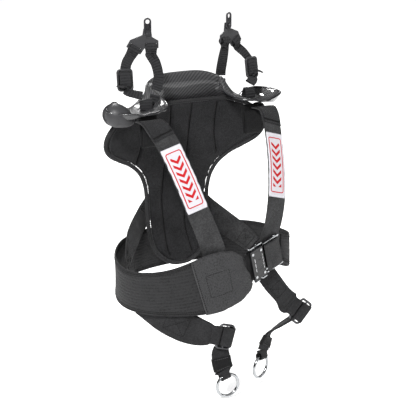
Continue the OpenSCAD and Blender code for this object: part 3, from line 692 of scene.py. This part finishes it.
def inflate(obj, cap, pressure=4.0, frames=20):
    """Swells a closed mesh with cloth pressure, moving no point further than cap."""
    remesh = obj.modifiers.new("remesh", "REMESH")
    remesh.mode = "VOXEL"
    remesh.voxel_size = PAD_VOXEL
    baked = apply_modifiers(obj)
    rest = np.array([v.co for v in baked.vertices])
    cloth = obj.modifiers.new("cloth", "CLOTH")
    cloth.settings.use_pressure = True
    cloth.settings.uniform_pressure_force = pressure
    cloth.settings.effector_weights.gravity = 0
    scene = bpy.context.scene
    for f in range(1, frames + 1):
        scene.frame_set(f)
    swollen = obj.evaluated_get(bpy.context.evaluated_depsgraph_get())
    moved = np.array([v.co for v in swollen.data.vertices]) - rest
    obj.modifiers.clear()
    scene.frame_set(1)
    far = np.linalg.norm(moved, axis=1, keepdims=True)
    moved *= np.minimum(1, cap / np.maximum(far, 1e-9))
    baked.vertices.foreach_set("co", (rest + moved).astype(np.float32).ravel())
    baked.update()


def back_pad():
    columns, levels = 36, smooth(PAD_ROWS, 3)
    z, half, depth = levels.T[..., None]
    u = np.linspace(-1, 1, columns + 1)
    x = u * (half - 2.5)
    thick = PAD_EDGE + PAD_CROWN * (1 - np.abs(u) ** 4)
    sheets = [np.stack([x, depth - PAD_WRAP * x * x + side * thick, z + 0 * x], 2) for side in (-1, 1)]
    n, m = sheets[0].shape[:2]
    half = n * m
    faces = grid_faces(n, m, False)
    faces = [f[::-1] for f in faces] + [tuple(half + i for i in f) for f in faces]
    rim = rim_of(n, m)
    faces += [(a, b, half + b, half + a) for a, b in zip(rim, rim[1:] + rim[:1])]
    mesh = bpy.data.meshes.new("pad_body")
    mesh.from_pydata((np.concatenate([s.reshape(-1, 3) for s in sheets]) * MM).tolist(), [], faces)
    pad = show("pad_body", mesh)
    inflate(pad, cap=0.0025)
    subdivide = pad.modifiers.new("subdivide", "SUBSURF")
    subdivide.levels = subdivide.render_levels = 1
    apply_modifiers(pad)
    co = np.array([v.co for v in pad.data.vertices]) / MM
    middle = pad_middle(co[:, 0], co[:, 2])
    rise = co[:, 1] - middle
    groove = np.zeros(len(co))
    for line in PAD_SEAMS:
        groove = np.maximum(groove, np.exp(-(seam_distance(co[:, 0], co[:, 2], line) / 2.8) ** 2))
    wrinkle = (0.35 * np.sin(co[:, 2] / 9 + 3 * np.sin(co[:, 0] / 31)) * np.sin(co[:, 0] / 14)
               + 0.3 * np.sin(co[:, 2] / 23 + co[:, 0] / 17))
    co[:, 1] = middle + np.clip(rise * (1 - 0.62 * groove) + np.sign(rise) * wrinkle, -8.2, 8.2)
    pad.data.vertices.foreach_set("co", (co * MM).astype(np.float32).ravel())
    pad.data.polygons.foreach_set("use_smooth", [True] * len(pad.data.polygons))
    pad.data.materials.clear()
    pad.data.materials.append(PAD_FABRIC)
    pad.data.update()
    place(pad, "harness", ["back_pad_cover", "back_pad_foam"])
    rows = []
    for line in PAD_SEAMS:
        track = smooth(line, 8)
        front = np.stack([track[:, 0], pad_middle(track[:, 0], track[:, 1]) - 3.6, track[:, 1]], 1)
        rows.append(thread(front, np.tile([0, -1.0, 0], (len(front), 1)), 1.1, 3.4, 0.3))
    build("pad_stitching", rows, THREAD_DARK, "pad_fabric")
    outline = pad_outline(4)
    loop = np.stack([outline[:, 0], pad_middle(outline[:, 0], outline[:, 1]), outline[:, 1]], 1)
    build("pad_binding", [tube(loop, 4.2, 14, True, 2.5, flat=0.78)], BINDING, "edge_binding",
          "back_pad_binding")
    inner = outline * (0.955, 0.99) + (0, 1.2)
    front = np.stack([inner[:, 0], pad_middle(inner[:, 0], inner[:, 1]) - 4.6, inner[:, 1]], 1)
    build("pad_edge_stitching", [thread(front, np.tile([0, -1.0, 0], (len(front), 1)), 0.45)],
          THREAD_GREY, "edge_binding")


# ---- Shoulder straps ----

STRAP_W = 44
STRAP_ROWS = wide([
    [128, 12, 284, 1, 0.05, 0], [127, -8, 284, 1, 0.05, -0.05],
    [124, -24, 276, 0.96, 0.06, -0.2], [114, -52, 244, 0.95, 0.09, -0.28],
    [101, -82, 190, 0.95, 0.09, -0.28], [87, -104, 134, 0.95, 0.08, -0.28],
    [72, -115, 88, 0.96, 0.15, -0.22]], STRAP_W)
STRAP_END = {
    "right": wide([[60, -116, 55, 0.96, 0.26, -0.12], [56, -117, 30, 0.96, 0.26, -0.1]], STRAP_W),
    "left": wide([[61, -113, 55, 0.97, 0.22, -0.12], [58, -111, 34, 0.97, 0.22, -0.1]], STRAP_W)}
CUFF_ROWS = wide([
    [128, 8, 284.4, 1, 0.05, 0], [127, -8.6, 286.4, 1, 0.05, -0.05],
    [124.4, -25.6, 278, 0.96, 0.06, -0.2], [119, -41, 261, 0.95, 0.08, -0.25]], STRAP_W)
LABEL_ROWS = [[114.2, -53.4, 245, 0.95, 0.09, -0.28, 40], [101.2, -83.4, 190.6, 0.95, 0.09, -0.28, 40],
              [87.2, -105.4, 134.6, 0.95, 0.08, -0.28, 40]]
KEEPER_AT = {"right": -118, "left": 108}
KEEPER_PATH = [(22, 290), (18, 262), (14, 240), (10, 235), (6, 240), (6, 262), (10, 279)]


def shoulder_strap(side):
    strap = Strap(sided(STRAP_ROWS + STRAP_END[side], side), 2.0)
    ripple = lambda s, a: 0.5 * np.sin(s / 26 + sign_of(side)) * np.cos(a / 15)
    build(f"strap_web_{side}", [strap.part(12, offset=ripple)], STRAP_WEB, "strap_webbing",
          f"shoulder_strap_{side}")
    cuff = Strap(sided(CUFF_ROWS, side), 2.0)
    build(f"strap_fold_{side}", [cuff.part(12)], FOLD_WEB, "dark_webbing", f"strap_cuff_{side}")
    sewn = [seam(cuff, zigzag(cuff.length - 9 + 1.2 * k, 2.6, 20, 30), radius=1.1) for k in range(2)]
    sewn += [seam(cuff, [(8, a), (cuff.length - 6, a)]) for a in (-20, 20)]
    build(f"strap_fold_stitching_{side}", sewn, THREAD_DARK, "dark_webbing")
    label = Strap(sided(LABEL_ROWS, side), 0.9, 1.2)
    scallop = lambda s: 1.6 * np.abs(np.sin(s / 8.0)) + 0.6 * np.sin(s / 2.6)
    build(f"strap_patch_{side}", [label.part(16, edge=scallop)], label_satin(label.length * MM), "label",
          f"strap_label_{side}")
    end = label.length
    path = [(3, -18), (end - 3, -18), (end - 3, 18), (3, 18), (3, -18)]
    build(f"strap_patch_stitching_{side}", [seam(label, path, radius=0.3, stitch=2.2)],
          plastic("thread_white_" + side, (0.72, 0.72, 0.75), 0.5), "label")
    keeper = Strap([[KEEPER_AT[side], y, z, 1, 0, 0, 38] for y, z in KEEPER_PATH], 2.0, 1.5)
    build(f"hanging_loop_{side}", [keeper.part(10)], DARK_WEB, "dark_webbing", f"strap_keeper_{side}")


# ---- Waist belt ----

BELT_RIGHT = hung([[6, -129, 17, 60, 0.25], [-8, -129, 11, 82, 0.12], [-30, -128, 4, 104],
                   [-58, -123, -2, 112], [-92, -111, -12, 106], [-128, -90, -20, 92],
                   [-160, -58, -26, 83], [-178, -14, -30, 79], [-180, 30, -28, 79],
                   [-166, 70, -20, 80], [-136, 103, -12, 84], [-98, 126, -9, 86]])
BELT_BACK = hung([[-97.5, 126.3, -9, 86], [-50, 139, -9, 86], [0, 143, -9, 86], [50, 138, -9, 86],
                  [95, 122, -9, 86]])
BELT_LEFT = hung([[95.5, 121.7, -9, 86], [126, 98, -8, 84], [152, 62, -6, 82], [166, 20, -5, 80],
                  [163, -22, 0, 76], [148, -60, 10, 68], [125, -90, 20, 58, 0.1],
                  [106, -105, 30, 54, 0.2], [90, -112, 36, 54, 0.25]])
COVER_ROWS = hung([[2, -132.4, 14, 72, 0.2], [-10, -132.8, 9, 92, 0.1], [-30, -131.8, 4, 107],
                   [-58, -126.6, -2, 115], [-92, -114.4, -12, 109]])
BACK_STRAP_ROWS = [[42, 135, 92, -0.6, 0.1, -0.8, 46], [72, 131, 62, -0.62, 0.2, -0.78, 46],
                   [106, 110, 30, -0.7, 0.3, -0.65, 46], [135, 78, 2, -0.5, 0.5, -0.7, 44],
                   [147, 60, -14, -0.3, 0.5, -0.8, 40]]


def belt_panel(name, rows, node):
    strap = Strap(rows, 4.0)
    half = strap.width / 2
    rim = lambda s, a: np.where(np.abs(a) > np.interp(s, strap.s, half) - 7, -0.5, 0.0)
    ripple = lambda s, a: 0.8 * np.sin(s / 31) * np.cos(a / 24)
    build(name, [strap.part(40, swell=rim, offset=ripple)], BELT_WEB, "belt_webbing", node)
    s = np.arange(4, strap.length - 4, 4.0)
    lines = []
    for edge in (-1, 1):
        for inset in (4.0, 7.5):
            path = [(x, edge * (np.interp(x, strap.s, half) - inset)) for x in s]
            lines += both_faces(strap, path)
    return lines


def belt():
    lines = []
    for name, rows, node in (("belt_web_right", BELT_RIGHT, "belt_panel_right"),
                             ("belt_web_back", BELT_BACK, "belt_panel_back"),
                             ("belt_web_left", BELT_LEFT, "belt_panel_left")):
        lines += belt_panel(name, rows, node)
    build("belt_stitching", lines, THREAD_DARK, "belt_webbing")
    cover = Strap(COVER_ROWS, 3.0)
    half = cover.width / 2
    end = cover.length
    puff = lambda s, a: (1.6 * np.clip(1 - (a / np.interp(s, cover.s, half)) ** 4, 0, 1)
                         * np.clip(s / 12, 0, 1))
    fold = lambda s, a: (np.exp(-s / 26) * (2.2 * np.sin(a / 8.0 + s / 11) + 1.1 * np.sin(a / 4.4 - s / 7))
                         + 0.5 * np.sin(s / 9 + a / 12))
    frill = lambda s: 2.0 * np.exp(-s / 30) * np.sin(s / 3.2) - 4 * np.exp(-s / 5)
    build("belt_cover", [cover.part(48, swell=puff, offset=fold, edge=frill)], COVER_FABRIC,
          "belt_webbing", "belt_cover_right")
    cover.thick += 3.0
    square = [(38, -20), (82, -20), (82, 24), (38, 24), (38, -20)]
    rows = [seam(cover, square, radius=0.5), seam(cover, across_at(end - 3, 50))]
    build("belt_cover_stitching", rows, THREAD_DARK, "belt_webbing")


def back_strap(side):
    strap = Strap(sided(BACK_STRAP_ROWS, side), 2.0)
    build(f"brace_strap_{side}", [strap.part(12)], STRAP_WEB, "strap_webbing", f"back_strap_{side}")
    end = strap.length
    rows = both_faces(strap, box_x(end - 34, end - 8, -15, 15))
    rows += both_faces(strap, box_x(6, 34, -17, 17))
    build(f"brace_strap_stitching_{side}", rows, THREAD_DARK, "strap_webbing")


# ---- Lap straps ----

LAP_BAR = {"right": np.array([-56, -126, -107.0]), "left": np.array([128, -117, -92.0])}
SLIDE_YAW = {"right": -18, "left": -8}
SLIDE_PITCH = {"right": 14, "left": 40}
LAP_ROWS = {
    "right": [[-165, -17, -52, 0.1, 0, -1, 56], [-147, -59, -68, 0, 0.1, -1, 60],
              [-120, -86, -84, -0.1, 0.1, -1, 62], [-96, -102, -96, -0.2, 0.1, -1, 58]],
    "left": [[60, -108, -8, 0.66, 0, 0.75, 40], [78, -110, -34, 0.66, 0, 0.75, 40],
             [98, -114, -60, 0.65, 0, 0.75, 38]]}
BAR_R = 2.0
STRAP_T = 2.0
SLIDE_DEPTH = 26


def slide_axes(side):
    turn = Matrix.Rotation(math.radians(SLIDE_YAW[side]), 3, "Z") @ Matrix.Rotation(
        math.radians(SLIDE_PITCH[side]), 3, "Y")
    return np.array(turn).T


def lap_tab(side):
    x, y, z = slide_axes(side)
    w = sign_of(side) * z
    bar = LAP_BAR[side]
    fold = Strap(hairpin(bar, x, -y, w, BAR_R + 0.5 + STRAP_T / 2, 36, 14, STRAP_T + 0.4), STRAP_T, 1.2)
    rows = LAP_ROWS[side] + [[*(bar - 22 * x), *w, 46], [*(bar - 12 * x), *w, 37]]
    body = Strap(rows, 2 * STRAP_T)
    ripple = lambda s, a: 0.7 * np.sin(s / 19) * np.cos(a / 18)
    build(f"lap_web_{side}", [fold.part(10), body.part(16, offset=ripple)], LAP_WEB, "belt_webbing",
          f"lap_tab_{side}")
    end = body.length
    if side == "right":
        rows = both_faces(body, box_x(end - 92, end - 50, -19, 19))
        rows += [seam(body, [(6, a), (end - 26, a)]) for a in (-25, 25)]
    else:
        rows = both_faces(body, box_x(end - 62, end - 36, -13, 13))
    rows += [seam(body, across_at(end - 9, 15))]
    build(f"lap_stitching_{side}", rows, THREAD_DARK, "belt_webbing")


LAP_W = 36
HANG = {
    "right": [[-35, -123, -116, 0.9, -0.1, 0.3, 24], [-43, -120, -130, 0.95, -0.1, 0.3, 28],
              [-48, -121, -145, 0.95, -0.1, 0.3, LAP_W], [-48, -124, -160, 0.95, -0.1, 0.3, LAP_W],
              [-45.5, -128, -178, 0.95, -0.1, 0.3, LAP_W]],
    "left": [[143, -110, -106, 0.5, 0.8, 0.2, 26], [124, -107, -116, 0.4, 0.8, -0.1, 28],
             [98, -106, -126, 0.45, 0.8, -0.2, 30], [76, -107, -136, 0.7, 0.6, -0.2, LAP_W],
             [64, -109, -150, 0.88, 0.4, -0.15, LAP_W], [57, -110, -166, 0.9, 0.35, -0.1, LAP_W]]}
RING_LOOP = {"right": np.array([-43, -128, -190.0]), "left": np.array([54, -110, -178.0])}
RING_SIDE = {"right": unit([0.95, -0.1, 0.3]), "left": unit([0.9, 0.35, -0.1])}
RING_HANG = {"right": [0.3, 0, -0.95], "left": [-0.1, 0, -0.99]}
RING_WIRE = 6
SLEEVE_ROWS = {
    "right": steady([[-48.4, -122.8, -154], [-47.6, -125, -165], [-45.8, -127.6, -176]],
                    (0.95, -0.1, 0.3), 39),
    "left": [[70, -107.6, -142, 0.8, 0.5, -0.2, 39], [60, -109.6, -159, 0.9, 0.35, -0.1, 39]]}


def ring_strap(side):
    x, y, z = slide_axes(side)
    w = RING_SIDE[side]
    d = unit(np.cross(np.cross(w, RING_HANG[side]), w))
    n = np.cross(w, d)
    lift = BAR_R + STRAP_T / 2 + 0.2
    body = f"lap_hanger_{side}"
    over = steady([LAP_BAR[side] + p * x + q * y for p, q in (
        (8.5, 3.2), (9, -0.5), (11.5, -lift), (19, -lift - 0.4), (27, -lift), (SLIDE_DEPTH + lift, 0),
        (27, lift), (22, 6), (20.5, 9))], z, LAP_W + 2)
    r = RING_WIRE / 2 + 2.9 + STRAP_T / 2
    pocket = [[*(RING_LOOP[side] + p * d + q * n), *w, LAP_W if abs(p) > 8 else 20] for p, q in (
        (-12, 1), (-6, 4.6), (0, r), (4.9, 4.9), (r, 0), (4.9, -4.9), (0, -r), (-6, -4.6), (-12, -1))]
    back = steady([LAP_BAR[side] + p * x + q * y for p, q in ((4.5, 4.2), (12, 4.4), (22, 4.2))], z, LAP_W)
    loop = Strap(pocket, STRAP_T, 1.2)
    parts = [Strap(over, STRAP_T, 1.2).part(10), Strap(back, 1.6, 1.5).part(8),
             Strap(HANG[side], 2 * STRAP_T, 1.5).part(12), loop.part(10)]
    build(f"ring_web_{side}", parts, LAP_WEB, "strap_webbing", f"ring_strap_{side}", body=body)
    sleeve = Strap(SLEEVE_ROWS[side], 7.0, 1.5)
    build(f"ring_sleeve_cloth_{side}", [sleeve.part(14)], DARK_WEB, "dark_webbing", f"ring_sleeve_{side}",
          body=body)
    rows = both_faces(sleeve, across_at(2, 15)) + both_faces(sleeve, across_at(sleeve.length - 2, 15))
    rows += [seam(loop, across_at(s, 8), radius=0.35) for s in (4, 6.5)]
    build(f"ring_stitching_{side}", rows, THREAD_GREY, "dark_webbing", body=body)


# ---- Buckle ----

BUCKLE = (Matrix.Translation((26, -128, 22)) @ Matrix.Rotation(math.radians(12), 4, "Z")
          @ Matrix.Rotation(math.radians(-14.5), 4, "Y"))


def buckle_point(x, y, z):
    return list(BUCKLE @ Vector((x, y, z)))


def buckle_rows(path, width):
    up = list(BUCKLE.to_3x3() @ Vector((0, 0, 1)))
    return steady([buckle_point(x, y, 0) for x, y in path], up, width)


def belt_end():
    inner = Strap(buckle_rows([(40, 3.4), (52, 3.5), (58.5, 3.1), (61.6, 0.6), (61.9, -2.5), (60, -5.6),
                               (54, -6.6), (44, -7.6), (34, -6.8), (24, -6.4)], 54), 2.0, 1.2)
    outer = Strap(buckle_rows([(59, -7.6), (53, -8.6), (44, -9.8), (34, -9.0), (28, -8.8),
                               (23, -8.4)], 53), 2.0, 1.2)
    lip = Strap(buckle_rows([(28, -10.4), (25, -10.4), (21.4, -9.4), (21.0, -7.4), (22.6, -6.2)], 54),
                1.8, 1.0)
    build("belt_tail", [inner.part(14), outer.part(14), lip.part(14)], STRAP_WEB, "strap_webbing",
          "belt_end_left")
    rows = [seam(outer, across_at(s, 23)) for s in (outer.length - 8, outer.length - 11)]
    build("belt_tail_stitching", rows, THREAD_DARK, "strap_webbing")


def base_webbing():
    """The right belt end's webbing where it wraps the bar of the buckle's base."""
    corners = [(-23.5, -25), (-15.6, -25), (-15.6, 25), (-23.5, 25)]
    build("buckle_wrap", [slab(buckle_point, corners, -0.4, 4.6)], DARK_WEB, "belt_webbing")


def buckle_marks():
    """Small plain strokes engraved on the cover plate, with no words."""
    strokes = [(-9 + 0.2 * k, -8 + 0.2 * k, z, h) for k, (z, h) in enumerate([(-14, 6), (-6, 9), (5, 8)])]
    strokes += [(12.2, 13, z, 4.5) for z in (-15, -8.5, -2, 4.5, 11)]
    parts = [slab(buckle_point, [(a, z), (b, z), (b, z + h), (a, z + h)], -7.06, -6.9)
             for a, b, z, h in strokes]
    build("buckle_marks", parts, MARK_WHITE, "black_steel")


# ---- Helmet tethers ----

LINK_AT = np.array([88.6, 72, 438.0])
LINK_YAW = math.radians(17.5)
REAR_SLOT = np.array([-7, -24.0])
FRONT_SLOT = np.array([23, -28.0])
FRONT_TILT = math.radians(30)
TETHER_W = 20
TETHER_T = 1.5
FOLD_R = 6.2
BAR_DROP = 4.8
REAR_LEG = {
    "right": wide([[-83, 71, 396, 0.95, -0.3, 0], [-73, 69, 378, 0.97, -0.2, 0],
                   [-70, 64, 356, 0.97, -0.2, 0], [-75, 58, 341, 0.95, -0.2, 0],
                   [-81, 54, 330, 0.9, -0.2, 0]], TETHER_W),
    "left": wide([[83, 72, 396, 0.95, 0.1, 0], [86, 84, 370, 0.94, -0.3, 0], [91, 98, 347, 0.9, -0.42, 0],
                  [93.5, 103, 336, 0.9, -0.42, 0]], TETHER_W)}
FRONT_LEG = {
    "right": wide([[-121, 82, 392, 0.83, -0.26, -0.5], [-131, 76, 382, 0.9, -0.2, -0.35],
                   [-139, 68, 369, 0.97, -0.2, -0.1]], TETHER_W),
    "left": wide([[121, 82, 392, 0.83, 0.26, 0.5], [131, 77, 382, 0.9, 0.2, 0.35],
                  [139, 69, 369, 0.97, 0.2, 0.1]], TETHER_W)}
REAR_BASE = {
    "right": wide([[-85, 51, 322, 0.9, -0.2, 0], [-88, 49, 314, 0.9, -0.2, 0],
                   [-92, 45, 304, 0.9, -0.2, 0]], TETHER_W),
    "left": wide([[94.7, 105, 328, 0.9, -0.42, 0], [97, 106, 318, 0.92, -0.3, 0],
                  [101, 100, 305, 1, 0, 0]], TETHER_W)}
TAIL_LEG = {
    "right": wide([[-142, 62, 334, 0.97, -0.15, 0], [-136, 55, 330, 0.95, -0.1, 0.1],
                   [-126, 47, 327, 0.9, 0, 0.2], [-117, 42, 325, 0.8, 0.2, 0.3]], TETHER_W),
    "left": wide([[142, 63, 335, 0.97, 0.15, 0], [137, 54, 332, 0.95, 0.1, 0],
                  [130, 47, 329, 0.95, 0, -0.1], [122, 41, 327, 0.9, -0.1, -0.2]], TETHER_W)}
FREE_TAIL = {
    "right": [[-141, 62, 336, 0.3, -0.9, 0, 18], [-147, 61, 342, 0.3, -0.9, 0, 18],
              [-155, 58, 343, 0.3, -0.9, 0, 20]],
    "left": [[141, 62, 336, -0.3, -0.9, 0, 18], [147, 62, 343, -0.3, -0.9, 0, 18],
             [154, 61, 346, -0.3, -0.9, 0, 20], [162, 59, 343, -0.3, -0.9, 0, 20]]}
FRONT_BASE = {
    "right": steady([[-108, 48, 299], [-109, 46, 309], [-111, 41, 316], [-113, 36, 309], [-114, 34, 299]],
                    (0.85, -0.2, 0.2), 24),
    "left": steady([[119, 49, 299], [119, 47, 310], [119, 41, 318], [119, 35, 310], [119, 33, 299]],
                   (0.9, 0.1, -0.1), 24)}


def spin_z(v):
    c, s = math.cos(LINK_YAW), math.sin(LINK_YAW)
    return np.array([v[0] * c - v[1] * s, v[0] * s + v[1] * c, v[2]])


def of_side(v, side):
    return np.array(v, float) * (sign_of(side), 1, 1)


def tether_leg(side, at, tilt, leg):
    c = of_side(LINK_AT + spin_z([at[0], 0, at[1]]), side)
    up = of_side(spin_z([-math.sin(tilt), 0, math.cos(tilt)]), side)
    w = sign_of(side) * of_side(spin_z([math.cos(tilt), 0, math.sin(tilt)]), side)
    n = of_side(spin_z([0, -1, 0]), side)
    return Strap(hairpin(c, up, n, w, FOLD_R, TETHER_W + 1, 12, TETHER_T + 0.4) + leg, TETHER_T, 0.8)


def ribs(s, a):
    """Cross ribs of tether webbing: the height added at each place."""
    return np.abs(np.sin(s * math.pi / 5.2)) * (np.abs(a) < TETHER_W / 2 - 1.2)


def tether(side):
    body = f"tether_{side}"
    rear = tether_leg(side, REAR_SLOT - (0, BAR_DROP), 0, REAR_LEG[side])
    foot = FRONT_SLOT + BAR_DROP * np.array([math.sin(FRONT_TILT), -math.cos(FRONT_TILT)])
    front = tether_leg(side, foot, FRONT_TILT, FRONT_LEG[side])
    build(f"tether_web_rear_{side}", [rear.part(10, swell=ribs)], TETHER_WEB, "tether_webbing",
          f"tether_rear_{side}", body=body)
    build(f"tether_web_front_{side}", [front.part(10, swell=ribs)], TETHER_WEB, "tether_webbing",
          f"tether_front_{side}", body=body)
    tail = Strap(TAIL_LEG[side], 2 * TETHER_T, 0.8)
    free = Strap(FREE_TAIL[side], TETHER_T, 0.8)
    build(f"tether_web_tail_{side}", [tail.part(10, swell=ribs), free.part(8, swell=ribs)], TETHER_WEB,
          "tether_webbing", f"tether_tail_{side}", body=body)
    base = Strap(REAR_BASE[side], 2 * TETHER_T, 0.8)
    tunnel = Strap(FRONT_BASE[side], TETHER_T, 0.8)
    build(f"tether_web_base_{side}", [base.part(10, swell=ribs), tunnel.part(10, swell=ribs)], TETHER_WEB,
          "dark_webbing", f"tether_base_{side}")
    rows = [seam(leg, across_at(s, 8), radius=0.35) for leg in (rear, front) for s in (3, 5.5)]
    build(f"tether_stitching_{side}", rows, THREAD_DARK, "tether_webbing", body=body)


LOCK_AT = np.array([141, 66, 353.0])


def rounded_loop(half_a, half_b, corner):
    """Points round a rectangle with rounded corners."""
    points = []
    for k, (a, b) in enumerate(((1, 1), (-1, 1), (-1, -1), (1, -1))):
        for angle in np.radians(90 * k + np.linspace(0, 90, 7)):
            points.append((a * (half_a - corner) + corner * math.cos(angle),
                           b * (half_b - corner) + corner * math.sin(angle)))
    return points


def lock_turn(side):
    mirror = Matrix.Scale(-1, 4, (1, 0, 0)) if side == "right" else Matrix.Identity(4)
    return (mirror @ Matrix.Translation(LOCK_AT) @ Matrix.Rotation(math.radians(10), 4, "Z")
            @ Matrix.Rotation(math.radians(-8), 4, "X"))


def ladder_lock(side):
    """A moulded frame with a rolled rim and a closed back."""
    turn = lock_turn(side)
    at = lambda x, y, z: list(turn @ Vector((x, y, z)))
    rim = [at(a, -1.2 - 0.004 * b * b, b) for a, b in rounded_loop(13.6, 18.8, 5)]
    parts = [tube(rim, 2.3, 14, True, 1.2)]
    parts.append(slab(at, rounded_loop(14, 19, 5), 0.6, 2.0))
    for z in (-11.5, 11.5):
        parts.append(tube([at(-12.5, -1.8, z), at(12.5, -1.8, z)], 1.8, 12, False, 1.2))
    build(f"lock_frame_{side}", parts, LINK_PLASTIC, "black_plastic", f"ladder_lock_{side}",
          body=f"tether_{side}")


def lock_webbing(side):
    """The webbing that rises over the ladder lock's bars."""
    turn = lock_turn(side)
    w = list((turn.to_3x3() @ Vector((1, 0, 0))) * sign_of(side))
    rows = lambda path, width: steady([turn @ Vector((0, y, z)) for y, z in path], w, width)
    lump = Strap(rows([(0, 15), (-4.2, 13.5), (-7.0, 9), (-8.0, 3), (-8.0, -3), (-7.0, -9), (-4.2, -13.5),
                       (0, -15)], 21.5), 2.6, 0.8)
    inner = Strap(rows([(-1.5, 12.5), (-4.0, 6), (-4.0, -6), (-1.5, -12.5)], 20), 6.0, 1.2)
    build(f"lock_web_{side}", [lump.part(10, swell=ribs), inner.part(8)], TETHER_WEB, "tether_webbing",
          body=f"tether_{side}")


def triglide(side):
    """A bent-wire slide with rounded corners and a middle bar."""
    x, y, z = slide_axes(side)
    at = lambda p, r, q=0.0: LAP_BAR[side] + p * x + q * y + r * z
    loop = [at(SLIDE_DEPTH / 2 + a, b, -0.9 * math.cos(b / 16)) for a, b in
            rounded_loop(SLIDE_DEPTH / 2 + 0.4, 23.2, 6)]
    parts = [tube(loop, 2.3, 14, True, 1.2)]
    parts.append(tube([at(SLIDE_DEPTH / 2, -22), at(SLIDE_DEPTH / 2, 22)], 2.0, 12, False, 1.5))
    build(f"slide_frame_{side}", parts, BLACK_STEEL, "black_steel", f"triglide_{side}",
          body=f"lap_hanger_{side}")


# ---- CAD pieces with a finish of their own ----

def finish_node(name, material, bevel):
    """Rounds a CAD node's edges and gives it its material."""
    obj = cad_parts[name]
    obj.data.materials.clear()
    obj.data.materials.append(material)
    weld = obj.modifiers.new("weld", "WELD")
    weld.merge_threshold = 1e-5
    if bevel:
        edge = obj.modifiers.new("edge", "BEVEL")
        edge.width = bevel
        edge.segments = 3
        edge.limit_method = "ANGLE"
        edge.angle_limit = math.radians(35)
        edge.harden_normals = True


def metal_parts():
    for side in SIDES:
        finish_node(f"ring_{side}", CHROME, 0)
        finish_node(f"helmet_clip_{side}", BLACK_STEEL, 0.0006)
        finish_node(f"clip_rivet_{side}", BLACK_STEEL, 0.0004)
        finish_node(f"y_link_{side}", LINK_PLASTIC, 0.0007)
        finish_node(f"tether_anchor_{side}", RIM_BLACK, 0.0005)
    finish_node("anchor_screws", CHROME, 0.0004)
    finish_node("buckle_base", PLATE_BLACK, 0.0005)
    finish_node("buckle_cover", PLATE_BLACK, 0.0008)
    finish_node("buckle_rivets", CHROME, 0.0003)
    for name in ("buckle_tongue", "buckle_adjust_bar", "buckle_clip_top", "buckle_clip_bottom",
                 "buckle_spring_top", "buckle_spring_bottom"):
        finish_node(name, CHROME, 0.0003)


# ---- Stage, light and camera ----

def stage():
    low = cad_low[2] - 0.004
    s = Shader("floor_pale", 0.6, 0.0)
    _, _, vector = s.place()
    s.set("Base Color", s.mix(s.noise(vector, 3.0), (0.90, 0.90, 0.90), (0.93, 0.93, 0.93)))
    s.set("Emission Color", (1.0, 1.0, 1.0))
    s.set("Emission Strength", 0.55)
    mesh = bpy.data.meshes.new("floor")
    mesh.from_pydata([(-30, -30, low), (30, -30, low), (30, 30, low), (-30, 30, low)], [], [(0, 1, 2, 3)])
    mesh.materials.append(s.material)
    show("floor", mesh)
    sky()
    view = bpy.context.scene.view_settings
    view.view_transform = "Standard"
    view.look = "None"


def sky():
    """White to the camera; to the part, a bright ceiling over dark studio walls."""
    world = bpy.context.scene.world or bpy.data.worlds.new("studio")
    bpy.context.scene.world = world
    world.use_nodes = True
    tree = world.node_tree
    background = tree.nodes["Background"]
    split = tree.nodes.new("ShaderNodeSeparateXYZ")
    tree.links.new(tree.nodes.new("ShaderNodeTexCoord").outputs["Generated"], split.inputs[0])
    ramp = tree.nodes.new("ShaderNodeMapRange")
    ramp.interpolation_type = "SMOOTHSTEP"
    tree.links.new(split.outputs[2], ramp.inputs[0])
    for key, value in zip((1, 2, 3, 4), (0.35, 0.85, 0.04, 0.80)):
        ramp.inputs[key].default_value = value
    seen = tree.nodes.new("ShaderNodeLightPath").outputs["Is Camera Ray"]
    most = tree.nodes.new("ShaderNodeMath")
    most.operation = "MAXIMUM"
    tree.links.new(ramp.outputs[0], most.inputs[0])
    tree.links.new(seen, most.inputs[1])
    background.inputs[0].default_value = (1, 1, 1, 1)
    tree.links.new(most.outputs[0], background.inputs[1])


def soft_light(name, at, aim, size, power):
    light = bpy.data.lights.new(name, "AREA")
    light.shape, light.size, light.energy = "DISK", size, power
    lamp = show(name, light)
    lamp.location = at
    lamp.rotation_mode = "QUATERNION"
    lamp.rotation_quaternion = (Vector(aim) - Vector(at)).to_track_quat("-Z", "Y")


CAMERA_AIM = Vector((-0.0165, -0.026, 0.110))
CAMERA_AZIMUTH = math.radians(-32)
CAMERA_ELEVATION = math.radians(16)
CAMERA_DISTANCE = 2.221
CAMERA_LENS = 101.2


def camera():
    a, e = CAMERA_AZIMUTH, CAMERA_ELEVATION
    back = Vector((math.sin(a) * math.cos(e), -math.cos(a) * math.cos(e), math.sin(e)))
    data = bpy.data.cameras.new("camera")
    data.lens = CAMERA_LENS
    data.sensor_width = 36
    shot = show("camera", data)
    shot.location = CAMERA_AIM + back * CAMERA_DISTANCE
    shot.rotation_mode = "QUATERNION"
    shot.rotation_quaternion = (-back).to_track_quat("-Z", "Y")
    bpy.context.scene.camera = shot


camera()
stage()
soft_light("key", (-2.1, -1.7, 2.5), (0, 0, 0.15), 0.6, 165)
soft_light("fill", (2.4, -1.6, 1.2), (0, 0, 0.1), 0.8, 14)
soft_light("rim", (0.6, 2.4, 2.2), (0, 0, 0.2), 1.0, 60)

yoke()
back_pad()
for side in SIDES:
    shoulder_roll(side)
    shoulder_strap(side)
    back_strap(side)
    lap_tab(side)
    ring_strap(side)
    tether(side)
    lock_webbing(side)
    ladder_lock(side)
    triglide(side)
belt()
belt_end()
base_webbing()
buckle_marks()
metal_parts()
